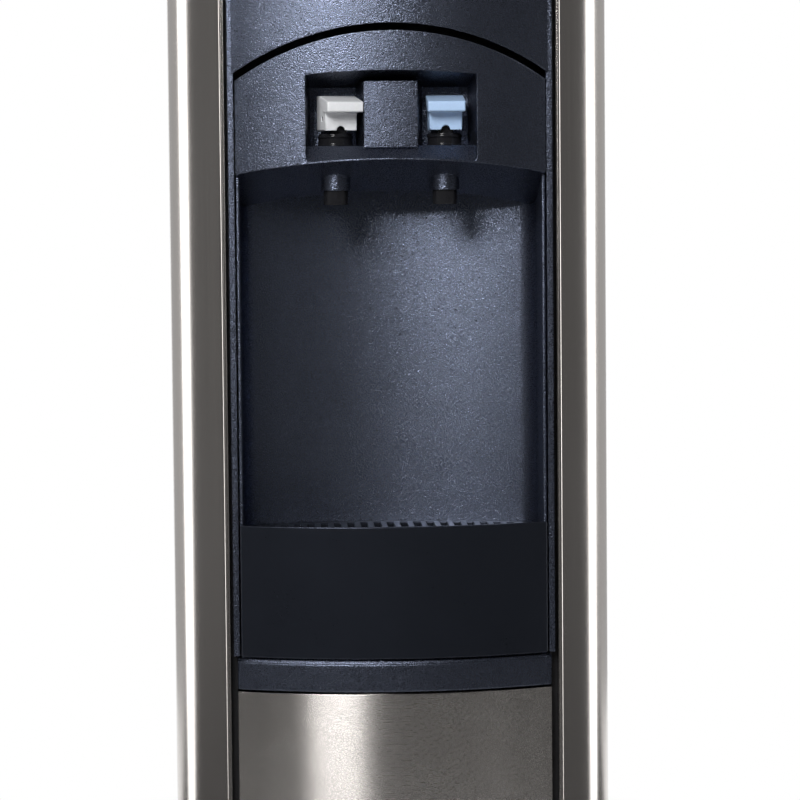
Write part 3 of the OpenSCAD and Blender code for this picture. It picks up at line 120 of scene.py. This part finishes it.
class Wire:
    """A shader socket that takes part in Python arithmetic."""

    def __init__(self, tree, socket):
        self.tree = tree
        self.socket = socket

    @staticmethod
    def make(tree, kind, settings=None, values=None, output=0):
        """Adds a node, sets it up, fills or links its sockets and returns one output."""
        node = tree.nodes.new(kind)
        for key, value in (settings or {}).items():
            setattr(node, key, value)
        for key, value in (values or {}).items():
            if isinstance(value, Wire):
                tree.links.new(value.socket, node.inputs[key])
            else:
                node.inputs[key].default_value = value
        return Wire(tree, node.outputs[output])

    def maths(self, operation, first, second):
        return Wire.make(self.tree, "ShaderNodeMath", {"operation": operation}, {0: first, 1: second})

    def __add__(self, other):
        return self.maths("ADD", self, other)

    __radd__ = __add__

    def __sub__(self, other):
        return self.maths("SUBTRACT", self, other)

    def __rsub__(self, other):
        return self.maths("SUBTRACT", other, self)

    def __mul__(self, other):
        return self.maths("MULTIPLY", self, other)

    __rmul__ = __mul__

    def at_least(self, other):
        return self.maths("MAXIMUM", self, other)

    def smooth(self, low, high):
        """0 below low, 1 above high, eased between."""
        settings = {"interpolation_type": "SMOOTHSTEP"}
        return Wire.make(
            self.tree, "ShaderNodeMapRange", settings, {"Value": self, "From Min": low, "From Max": high}
        )


class Finish:
    """A material under construction, with the pattern sources that the finishes share."""

    def __init__(self, name):
        self.material = bpy.data.materials.new(name)
        self.material.use_nodes = True
        self.tree = self.material.node_tree
        self.shader = self.tree.nodes["Principled BSDF"]
        self.place = self.make("ShaderNodeTexCoord", output="Object")

    def make(self, kind, settings=None, values=None, output=0):
        return Wire.make(self.tree, kind, settings, values, output)

    def stretched(self, x, y, z):
        return self.make("ShaderNodeVectorMath", {"operation": "MULTIPLY"}, {0: self.place, 1: (x, y, z)})

    def noise(self, scale, detail=2.0, rough=0.5, vector=None):
        values = {"Vector": vector or self.place, "Scale": scale, "Detail": detail, "Roughness": rough}
        return self.make("ShaderNodeTexNoise", {}, values)

    def cells(self, scale, feature="F1"):
        values = {"Vector": self.place, "Scale": scale}
        return self.make("ShaderNodeTexVoronoi", {"feature": feature}, values, "Distance")

    def mix(self, factor, first, second):
        """Blends two colours."""
        first = first if isinstance(first, Wire) else (*first, 1.0)
        second = second if isinstance(second, Wire) else (*second, 1.0)
        return self.make("ShaderNodeMix", {"data_type": "RGBA"}, {0: factor, 6: first, 7: second}, 2)

    def bump(self, height, distance, strength=1.0, normal=None):
        values = {"Height": height, "Distance": distance, "Strength": strength}
        if normal is not None:
            values["Normal"] = normal
        return self.make("ShaderNodeBump", {}, values)

    def soft_edges(self, radius):
        """A surface normal that turns smoothly over sharp edges."""
        return self.make("ShaderNodeBevel", {"samples": 4}, {"Radius": radius})

    def shade(self, **values):
        """Sets or links the shader's own sockets, named with underscores."""
        for key, value in values.items():
            socket = self.shader.inputs[key.replace("_", " ")]
            if isinstance(value, Wire):
                self.tree.links.new(value.socket, socket)
            elif hasattr(value, "__len__") and len(value) == 3 and socket.type == "RGBA":
                socket.default_value = (*value, 1.0)
            else:
                socket.default_value = value
        return self.material


def scaled(colour, factor):
    return tuple(min(1.0, channel * factor) for channel in colour)


def brushed_steel(name, colour, along, brush, roughness=0.2, stretch=0.55):
    """Satin sheet with fine lines along one axis, wider bands and a slightly cloudy tone."""
    finish = Finish(name)
    fine, coarse = [1 / brush] * 3, [1 / (4.4 * brush)] * 3
    fine[along] = 1 / (60 * MM)
    coarse[along] = 1 / (240 * MM)
    lines = finish.noise(1.0, detail=2.0, rough=0.6, vector=finish.stretched(*fine))
    bands = finish.noise(1.0, detail=3.0, rough=0.55, vector=finish.stretched(*coarse))
    cloud = finish.noise(9.0, detail=3.0, rough=0.5)
    tone = (lines - 0.5) * 0.16 + (bands - 0.5) * 0.30 + (cloud - 0.5) * 0.12 + 0.5
    colours = finish.mix(tone, scaled(colour, 0.72), scaled(colour, 1.26))
    height = lines * 0.6 + bands * 0.4
    return finish.shade(
        Base_Color=colours,
        Metallic=1.0,
        Roughness=(lines - 0.5) * 0.10 + (cloud - 0.5) * 0.08 + roughness,
        Anisotropic=stretch,
        Anisotropic_Rotation=0.25,
        Normal=finish.bump(height, 0.012 * MM, 0.2),
    )


def grained_plastic(name, colour, glint, grain, edge, shine=1.85, depth=0.22 * MM, roughness=0.28):
    """Moulded plastic with a pebbled grain: rounded cells of uneven size, with a colour that varies at random
    and a painted sparkle of light, paler on the cells' tops.
    """
    finish = Finish(name)
    warp = finish.noise(1 / (3.2 * grain), detail=1.0, rough=0.5)
    pebbles = finish.cells(1 / grain)
    fine = finish.noise(1 / (0.7 * grain), detail=2.0, rough=0.6)
    cloud = finish.noise(11.0, detail=3.0, rough=0.55)
    height = (1 - pebbles) * 0.7 + fine * 0.5 + warp * 0.5
    # Painted sparkle: the colour is paler on the pebbles' tops and finely speckled, standing in for light
    # glinting off the grain, over a random cloudy tone.
    tone = (fine - 0.5) * 1.6 + (0.45 - pebbles) * 0.7 + (cloud - 0.5) * 0.3 + 0.45
    return finish.shade(
        Base_Color=finish.mix(tone.smooth(0.0, 1.0), scaled(colour, 0.3), scaled(colour, 2.0)),
        Roughness=(fine - 0.5) * 0.3 + (cloud - 0.5) * 0.04 + roughness,
        IOR=shine,
        Specular_IOR_Level=1.0,
        Specular_Tint=glint,
        Normal=finish.bump(height, depth, 1.0, finish.soft_edges(edge)),
    )


def satin_plastic(name, colour, roughness=0.3, glint=(1.0, 1.0, 1.0), ripple=0.012 * MM, edge=0.7 * MM):
    """Smooth moulding with a faint orange-peel and a cloudy gloss."""
    finish = Finish(name)
    peel = finish.noise(700.0, detail=2.0, rough=0.5)
    cloud = finish.noise(16.0, detail=4.0, rough=0.6)
    tone = (cloud - 0.5) * 0.5 + (peel - 0.5) * 0.3 + 0.5
    return finish.shade(
        Base_Color=finish.mix(tone, scaled(colour, 0.84), scaled(colour, 1.18)),
        Roughness=(cloud - 0.5) * 0.12 + (peel - 0.5) * 0.08 + roughness,
        Specular_Tint=glint,
        Normal=finish.bump(peel, ripple, 0.6, finish.soft_edges(edge)),
    )


def coated_steel(name, colour, roughness=0.45, metallic=0.0):
    """Painted or zinc-coated sheet: fine spatter, cloudy tone and small specks."""
    finish = Finish(name)
    spatter = finish.noise(900.0, detail=2.0, rough=0.6)
    cloud = finish.noise(7.0, detail=4.0, rough=0.6)
    flakes = finish.cells(160.0)
    tone = (cloud - 0.5) * 0.7 + (spatter - 0.5) * 0.3 + (flakes - 0.4) * 0.25 + 0.5
    return finish.shade(
        Base_Color=finish.mix(tone, scaled(colour, 0.75), scaled(colour, 1.22)),
        Metallic=metallic,
        Roughness=(spatter - 0.5) * 0.2 + (cloud - 0.5) * 0.2 + roughness,
        Normal=finish.bump(spatter, 0.03 * MM, 0.6),
    )


def drawn_metal(name, colour, along=2, roughness=0.28):
    """Drawn or turned bright metal with lengthwise lines and a slight tarnish."""
    finish = Finish(name)
    stretch = [2600.0] * 3
    stretch[along] = 40.0
    lines = finish.noise(1.0, detail=2.0, rough=0.6, vector=finish.stretched(*stretch))
    tarnish = finish.noise(38.0, detail=4.0, rough=0.6)
    tone = (lines - 0.5) * 0.35 + (tarnish - 0.5) * 0.8 + 0.5
    return finish.shade(
        Base_Color=finish.mix(tone, scaled(colour, 0.62), scaled(colour, 1.2)),
        Metallic=1.0,
        Roughness=(lines - 0.5) * 0.14 + (tarnish - 0.5) * 0.25 + roughness,
        Normal=finish.bump(lines, 0.01 * MM, 0.6),
    )


def moulded_foam(name, colour):
    """Expanded foam: packed beads with skinned tops and a yellowed tone."""
    finish = Finish(name)
    beads = finish.cells(230.0)
    edge = finish.cells(230.0, feature="DISTANCE_TO_EDGE")
    cloud = finish.noise(12.0, detail=4.0, rough=0.6)
    tone = (cloud - 0.5) * 0.8 + (0.5 - beads) * 0.4 + 0.5
    return finish.shade(
        Base_Color=finish.mix(tone, scaled(colour, 0.7), scaled(colour, 1.2)),
        Roughness=(cloud - 0.5) * 0.2 + 0.8,
        Normal=finish.bump(edge.smooth(0.0, 0.25), 0.5 * MM, 0.7),
    )


def soft_rubber(name, colour):
    """Matte rubber with a fine dusty bloom."""
    finish = Finish(name)
    bloom = finish.noise(60.0, detail=5.0, rough=0.65)
    pores = finish.noise(1500.0, detail=2.0, rough=0.6)
    return finish.shade(
        Base_Color=finish.mix(bloom.smooth(0.35, 0.75), scaled(colour, 0.8), scaled(colour, 2.2)),
        Roughness=(pores - 0.5) * 0.2 + 0.75,
        Normal=finish.bump(pores, 0.05 * MM, 0.7),
    )


def clear_lens(name, colour):
    """Tinted indicator lens with a fine frosting."""
    finish = Finish(name)
    frost = finish.noise(2200.0, detail=1.0, rough=0.5)
    return finish.shade(
        Base_Color=finish.mix(frost, scaled(colour, 0.7), scaled(colour, 1.3)),
        Roughness=(frost - 0.5) * 0.1 + 0.14,
        Coat_Weight=0.5,
        Normal=finish.bump(frost, 0.02 * MM, 0.5),
    )


def finishes(colours, sizes):
    """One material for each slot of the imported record, and one each for the front panel and the liner."""
    upright, crosswise = 2, 0
    moulding = (colours.fascia, colours.glint, sizes.grain, sizes.soft_edge)
    return {
        "stainless": brushed_steel("brushed_stainless", colours.steel, upright, sizes.brush),
        "panel": brushed_steel(
            "brushed_front_panel", colours.steel, crosswise, sizes.brush, roughness=0.265, stretch=1.0
        ),
        "black_plastic": grained_plastic("pebbled_black", *moulding),
        "liner": grained_plastic("pebbled_liner", *moulding, shine=2.15),
        "tray_plastic": satin_plastic("satin_black", colours.tray, glint=colours.glint),
        "tap_plastic": satin_plastic("gloss_black", colours.gloss, roughness=0.12),
        "hot_white": satin_plastic("hot_white", colours.hot, roughness=0.34),
        "cold_blue": satin_plastic("cold_blue", colours.cold, roughness=0.34),
        "pin_steel": drawn_metal("bright_steel", (0.62, 0.62, 0.62), along=0),
        "valve_silicone": satin_plastic("silicone", (0.70, 0.70, 0.67), roughness=0.4),
        "brass": drawn_metal("turned_brass", colours.brass, along=1),
        "black_steel": coated_steel("black_enamel", (0.016, 0.016, 0.018), roughness=0.32),
        "coated_steel": coated_steel("zinc_coat", colours.zinc, roughness=0.42, metallic=0.6),
        "tank_steel": drawn_metal("tank_steel", (0.60, 0.59, 0.57)),
        "foam": moulded_foam("tank_foam", colours.foam),
        "white_plastic": satin_plastic("white_moulding", colours.white, roughness=0.4),
        "blue_plastic": satin_plastic("blue_moulding", (0.10, 0.25, 0.52), roughness=0.35),
        "rubber": soft_rubber("foot_rubber", (0.018, 0.018, 0.019)),
        "copper": drawn_metal("copper_tube", colours.copper),
        "lens": clear_lens("indicator_lens", (0.36, 0.62, 0.38)),
        "switch_red": satin_plastic("switch_red", (0.52, 0.035, 0.03), roughness=0.22),
        "switch_green": satin_plastic("switch_green", (0.03, 0.30, 0.11), roughness=0.22),
    }


SHELF = {}


def finish_for(context, slot):
    """The finish of a slot, made once for a scene."""
    if not SHELF:
        SHELF.update(finishes(context.scene.cooler_colours, context.scene.cooler_sizes))
    return SHELF[slot]


def dress(context, node, slot=None):
    """Gives a CAD node its finish."""
    mesh = NODES[node].data
    mesh.materials.clear()
    mesh.materials.append(finish_for(context, slot or SLOT_OF[node]))


SHARP = math.radians(28.0)
FLAT = math.radians(0.25)
WELD = 0.002 * MM
IN_LINE = 0.8
ROOM_SHARE = 0.45
LEAST_SHARE = 0.3


def heading(edge, vert):
    """Direction of an edge, away from one of its ends."""
    return (edge.other_vert(vert).co - vert.co).normalized()


def room(edge):
    """Just under half the shortest run of surface that a rounded edge has to share at its ends."""
    runs = []
    for vert in edge.verts:
        for other in vert.link_edges:
            soft = other.calc_face_angle(0.0) <= SHARP
            if other is not edge and (soft or abs(heading(edge, vert).dot(heading(other, vert))) < IN_LINE):
                runs.append(other.calc_length())
    return ROOM_SHARE * min(runs, default=1.0)


def rounded(context, node, radius, slot=None):
    """A copy of a CAD node with its corners rounded, which rides on the node's body in its place."""
    bm = bmesh.new()
    bm.from_mesh(NODES[node].data)
    bmesh.ops.remove_doubles(bm, verts=bm.verts, dist=WELD)
    bmesh.ops.dissolve_limit(
        bm, angle_limit=FLAT, verts=bm.verts, edges=bm.edges, use_dissolve_boundaries=False
    )
    weight = bm.edges.layers.float.new("bevel_weight_edge")
    for edge in bm.edges:
        if edge.is_manifold and edge.calc_face_angle(0.0) > SHARP:
            share = min(1.0, room(edge) / radius)
            edge[weight] = share if share > LEAST_SHARE else 0.0
    for face in bm.faces:
        face.smooth = True
    mesh = bpy.data.meshes.new(node + "_rounded")
    bm.to_mesh(mesh)
    bm.free()
    piece = bpy.data.objects.new(node + "_rounded", mesh)
    context.scene.collection.objects.link(piece)
    bevel = piece.modifiers.new("Rounded edges", "BEVEL")
    bevel.limit_method = "WEIGHT"
    bevel.width = radius
    bevel.segments = context.scene.cooler_sizes.rounding
    bevel.use_clamp_overlap = False
    bevel.loop_slide = False
    weighted = piece.modifiers.new("Even shading", "WEIGHTED_NORMAL")
    weighted.weight = 50
    mesh.materials.append(finish_for(context, slot or SLOT_OF[node]))
    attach(piece, BODY_OF[node])
    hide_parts(node)


class COOLER_OT_steel(bpy.types.Operator):
    """Column panels and lower front panel in brushed stainless"""

    bl_idname = "cooler.steel"
    bl_label = "Stainless panels"

    def execute(self, context):
        edge = context.scene.cooler_sizes.sheet_edge
        for node in ("left_side_panel", "right_side_panel"):
            rounded(context, node, edge)
        rounded(context, "lower_front_panel", edge, slot="panel")
        return {"FINISHED"}


class COOLER_OT_front(bpy.types.Operator):
    """Black moulded front: fascia, hood, alcove, band, plinth and top cover"""

    bl_idname = "cooler.front"
    bl_label = "Black front"

    def execute(self, context):
        edge = context.scene.cooler_sizes.mould_edge
        for node in ("tray_shelf", "front_plinth"):
            rounded(context, node, edge)
        rounded(context, "alcove_liner", edge, slot="liner")
        rounded(context, "fascia", context.scene.cooler_sizes.small_edge)
        for node in ("dispense_hood", "top_cover", "indicator_lenses", "front_posts"):
            dress(context, node)
        return {"FINISHED"}


class COOLER_OT_tray(bpy.types.Operator):
    """Drip tray and its slotted grille"""

    bl_idname = "cooler.tray"
    bl_label = "Drip tray"

    def execute(self, context):
        edge = context.scene.cooler_sizes.mould_edge
        rounded(context, "drip_tray", edge)
        rounded(context, "drip_grille", edge)
        return {"FINISHED"}


class COOLER_OT_taps(bpy.types.Operator):
    """Levers, pins, tap bodies, stems, springs and nuts"""

    bl_idname = "cooler.taps"
    bl_label = "Taps"

    def execute(self, context):
        sizes = context.scene.cooler_sizes
        for side in ("hot", "cold"):
            rounded(context, side + "_lever", sizes.lever_edge)
            rounded(context, side + "_tap_body", sizes.small_edge)
            for part in ("_lever_pin", "_stem", "_spring"):
                dress(context, side + part)
        dress(context, "tap_nuts")
        return {"FINISHED"}


class COOLER_OT_rear(bpy.types.Operator):
    """Rear panel, condenser, services, switches and screws"""

    bl_idname = "cooler.rear"
    bl_label = "Rear"

    def execute(self, context):
        edge = context.scene.cooler_sizes.small_edge
        for node in (
            "power_inlet", "switch_frames", "hot_switch", "cold_switch", "drain_cap", "water_inlet",
            "drain_outlet", "rear_screws",
        ):
            rounded(context, node, edge)
        for node in (
            "rear_panel", "condenser_coil", "condenser_wires", "condenser_brackets", "filter_drier",
            "refrigerant_lines",
        ):
            dress(context, node)
        return {"FINISHED"}


class COOLER_OT_insides(bpy.types.Operator):
    """Tanks, filters, compressor, tubes, base and feet"""

    bl_idname = "cooler.insides"
    bl_label = "Insides and base"

    def execute(self, context):
        for node in (
            "base_pan", "feet", "tank_deck", "cold_tank", "cold_tank_jacket", "cold_tank_lid",
            "hot_tank", "hot_tank_jacket", "heater_band", "thermostats", "inlet_valve", "water_tubes",
            "filter_rail", "filter_heads", "sediment_cartridge", "carbon_cartridge",
            "compressor", "compressor_grommets", "compressor_bolts", "control_box",
        ):
            dress(context, node)
        return {"FINISHED"}


def sheet(context, name, size, centre, facing, material):
    """A flat stage card that faces a point."""
    mesh = bpy.data.meshes.new(name)
    half_w, half_h = size[0] / 2, size[1] / 2
    corners = [(-half_w, -half_h, 0), (half_w, -half_h, 0), (half_w, half_h, 0), (-half_w, half_h, 0)]
    mesh.from_pydata(corners, [], [(0, 1, 2, 3)])
    mesh.materials.append(material)
    card = bpy.data.objects.new(name, mesh)
    context.scene.collection.objects.link(card)
    turn = (Vector(facing) - Vector(centre)).to_track_quat("Z", "Y")
    card.matrix_world = Matrix.Translation(centre) @ turn.to_matrix().to_4x4()
    return card


def softbox(context, name, size, centre, facing, power):
    """A rectangular white studio light, hidden from the camera."""
    data = bpy.data.lights.new(name, "AREA")
    data.shape = "RECTANGLE"
    data.size, data.size_y = size
    data.energy = power
    lamp = bpy.data.objects.new(name, data)
    context.scene.collection.objects.link(lamp)
    turn = (Vector(facing) - Vector(centre)).to_track_quat("-Z", "Y")
    lamp.matrix_world = Matrix.Translation(centre) @ turn.to_matrix().to_4x4()
    lamp.visible_camera = False


def shown_rays(tree):
    """1 for rays that show the background: straight, mirrored or through glass."""
    camera, glossy, through = (
        Wire.make(tree, "ShaderNodeLightPath", output=ray)
        for ray in ("Is Camera Ray", "Is Glossy Ray", "Is Transmission Ray")
    )
    return camera.at_least(glossy).at_least(through)


def studio_world(context, ambient, background):
    """White where it is seen or mirrored, and a soft fill elsewhere."""
    world = bpy.data.worlds.new("studio")
    world.use_nodes = True
    tree = world.node_tree
    tree.nodes.clear()
    fill = Wire.make(tree, "ShaderNodeBackground", {}, {"Color": (1.0, 1.0, 1.0, 1.0), "Strength": ambient})
    white = Wire.make(tree, "ShaderNodeBackground", {}, {"Color": (*background, 1.0), "Strength": 1.0})
    both = Wire.make(tree, "ShaderNodeMixShader", {}, {0: shown_rays(tree), 1: fill, 2: white})
    tree.links.new(both.socket, tree.nodes.new("ShaderNodeOutputWorld").inputs["Surface"])
    context.scene.world = world


FADE_START = 0.7
FADE_END = 1.7


def floor_finish(background):
    """Pale paper that fades into the background away from the object."""
    finish = Finish("studio_floor")
    tree = finish.tree
    fibre = finish.noise(320.0, detail=3.0, rough=0.6)
    finish.shade(
        Base_Color=finish.mix(fibre, (0.80, 0.80, 0.80), (0.84, 0.84, 0.84)),
        Roughness=0.9,
        Specular_IOR_Level=0.1,
    )
    reach = finish.make("ShaderNodeVectorMath", {"operation": "LENGTH"}, {0: finish.place}, "Value")
    far = reach.smooth(FADE_START, FADE_END)
    glow = finish.make("ShaderNodeEmission", {}, {"Color": (*background, 1.0), "Strength": 1.0})
    surface = Wire(tree, finish.shader.outputs[0])
    both = finish.make("ShaderNodeMixShader", {}, {0: far * shown_rays(tree), 1: surface, 2: glow})
    tree.links.new(both.socket, tree.nodes["Material Output"].inputs["Surface"])
    return finish.material


def card_finish(name, level):
    """Studio cloth that shows one grey level, however it is lit."""
    finish = Finish(name)
    weave = finish.noise(40.0, detail=3.0, rough=0.6)
    tone = finish.mix(weave, (level * 0.92,) * 3, (level * 1.08,) * 3)
    return finish.shade(
        Base_Color=(0.0, 0.0, 0.0),
        Roughness=1.0,
        Specular_IOR_Level=0.0,
        Emission_Color=tone,
        Emission_Strength=1.0,
    )


def hidden_card(context, name, size, centre, facing, level):
    """A grey card that only the object's surfaces mirror."""
    card = sheet(context, name, size, centre, facing, card_finish(name, level))
    card.visible_camera = False
    card.visible_shadow = False
    card.visible_diffuse = False


FLOOR_SIZE = (9.0, 9.0)
CARD_HEIGHT = 3.6
CARD_MIDDLE = 1.3
# Upright cards: name, width, place on the floor, grey level
UPRIGHT_CARDS = (
    ("card_front_right", 3.4, (1.35, -2.9), 0.055),
    ("card_front_left", 3.4, (-1.55, -2.8), 0.07),
    ("card_right", 2.6, (2.75, -1.1), 0.10),
    ("card_left", 2.6, (-2.75, -1.1), 0.13),
    ("card_back_right", 2.6, (1.9, 1.7), 0.42),
    ("card_back_left", 2.6, (-1.9, 1.7), 0.42),
)
FLOOR_LEVEL = 0.07
FLOOR_LIFT = 4 * MM
# Cards that lie on the floor: name, size, place
FLOOR_CARDS = (
    ("card_floor_front", (6.0, 2.8), (0.0, -2.2)),
    ("card_floor_left", (2.4, 2.4), (-1.8, 0.0)),
    ("card_floor_right", (2.4, 2.4), (1.8, 0.0)),
)
TOP_SIZE = (6.4, 6.4)
TOP_PLACE = (0.0, -0.4, 3.1)
TOP_AIM = (0.0, -0.4, 0.0)
TOP_LEVEL = 0.12
KEY_SIZE = (0.68, 0.9)
KEY_PLACE = (-0.63, -1.95, 1.85)
KEY_AIM = (0.0, -0.15, 0.8)
STRIP_SIZE = (0.42, 1.9)
STRIP_AIM = (0.0, -0.1, 0.6)
STRIPS = {"left_strip": (-1.25, 0.22, 0.95), "right_strip": (1.25, 0.11, 0.95)}


def place_cards(context):
    """Grey cards all round, overhead and on the floor, for the steel and the gloss to mirror."""
    for name, width, (x, y), level in UPRIGHT_CARDS:
        centre = (x, y, CARD_MIDDLE)
        hidden_card(context, name, (width, CARD_HEIGHT), centre, (0.0, 0.0, CARD_MIDDLE), level)
    hidden_card(context, "card_top", TOP_SIZE, TOP_PLACE, TOP_AIM, TOP_LEVEL)
    for name, size, (x, y) in FLOOR_CARDS:
        hidden_card(context, name, size, (x, y, FLOOR_LIFT), (x, y, 1.0), FLOOR_LEVEL)


def place_camera(scene, stage):
    """The photograph's view: place, turn, tilt and roll."""
    data = bpy.data.cameras.new("photo_camera")
    data.lens = stage.lens
    data.sensor_width = 36.0
    camera = bpy.data.objects.new("photo_camera", data)
    scene.collection.objects.link(camera)
    level = math.cos(stage.pitch)
    ahead = Vector((math.sin(stage.yaw) * level, math.cos(stage.yaw) * level, -math.sin(stage.pitch)))
    right = Vector((math.cos(stage.yaw), -math.sin(stage.yaw), 0.0))
    up = right.cross(ahead)
    right, up = (
        math.cos(stage.roll) * right + math.sin(stage.roll) * up,
        math.cos(stage.roll) * up - math.sin(stage.roll) * right,
    )
    turn = Matrix((right, up, -ahead)).transposed()
    camera.matrix_world = Matrix.Translation(stage.place) @ turn.to_4x4()
    scene.camera = camera


class COOLER_OT_stage(bpy.types.Operator):
    """Floor, studio light and camera"""

    bl_idname = "cooler.stage"
    bl_label = "Stage"

    def execute(self, context):
        scene = context.scene
        stage = scene.cooler_stage
        background = scene.cooler_colours.background
        studio_world(context, stage.ambient, background)
        sheet(context, "floor", FLOOR_SIZE, (0.0, 0.0, 0.0), (0.0, 0.0, 1.0), floor_finish(background))
        place_cards(context)
        softbox(context, "key_light", KEY_SIZE, KEY_PLACE, KEY_AIM, stage.key)
        for name, centre in STRIPS.items():
            softbox(context, name, STRIP_SIZE, centre, STRIP_AIM, stage.side)
        place_camera(scene, stage)
        scene.view_settings.view_transform = "Standard"
        return {"FINISHED"}


PIECES = (COOLER_OT_steel, COOLER_OT_front, COOLER_OT_tray, COOLER_OT_taps, COOLER_OT_rear, COOLER_OT_insides,
          COOLER_OT_stage)


class COOLER_PT_sidebar(bpy.types.Panel):
    """Lists the cooler's settings and steps."""

    bl_label = "Water cooler"
    bl_idname = "COOLER_PT_sidebar"
    bl_space_type = "VIEW_3D"
    bl_region_type = "UI"
    bl_category = "Cooler"

    def draw(self, context):
        scene = context.scene
        for group in (scene.cooler_colours, scene.cooler_sizes, scene.cooler_stage):
            column = self.layout.column(align=True)
            for name in group.bl_rna.properties.keys():
                if name not in ("rna_type", "name"):
                    column.prop(group, name)
        for piece in PIECES:
            self.layout.operator(piece.bl_idname)


GROUPS = {"cooler_colours": CoolerColours, "cooler_sizes": CoolerSizes, "cooler_stage": CoolerStage}


def register():
    for kind in (*GROUPS.values(), *PIECES, COOLER_PT_sidebar):
        bpy.utils.register_class(kind)
    for name, kind in GROUPS.items():
        setattr(bpy.types.Scene, name, PointerProperty(type=kind))


def unregister():
    for name in GROUPS:
        delattr(bpy.types.Scene, name)
    for kind in (COOLER_PT_sidebar, *reversed(PIECES), *reversed(list(GROUPS.values()))):
        bpy.utils.unregister_class(kind)


def main():
    register()
    bpy.ops.cooler.steel()
    bpy.ops.cooler.front()
    bpy.ops.cooler.tray()
    bpy.ops.cooler.taps()
    bpy.ops.cooler.rear()
    bpy.ops.cooler.insides()
    bpy.ops.cooler.stage()
    bpy.context.view_layer.update()


if __name__ == "__main__":
    main()
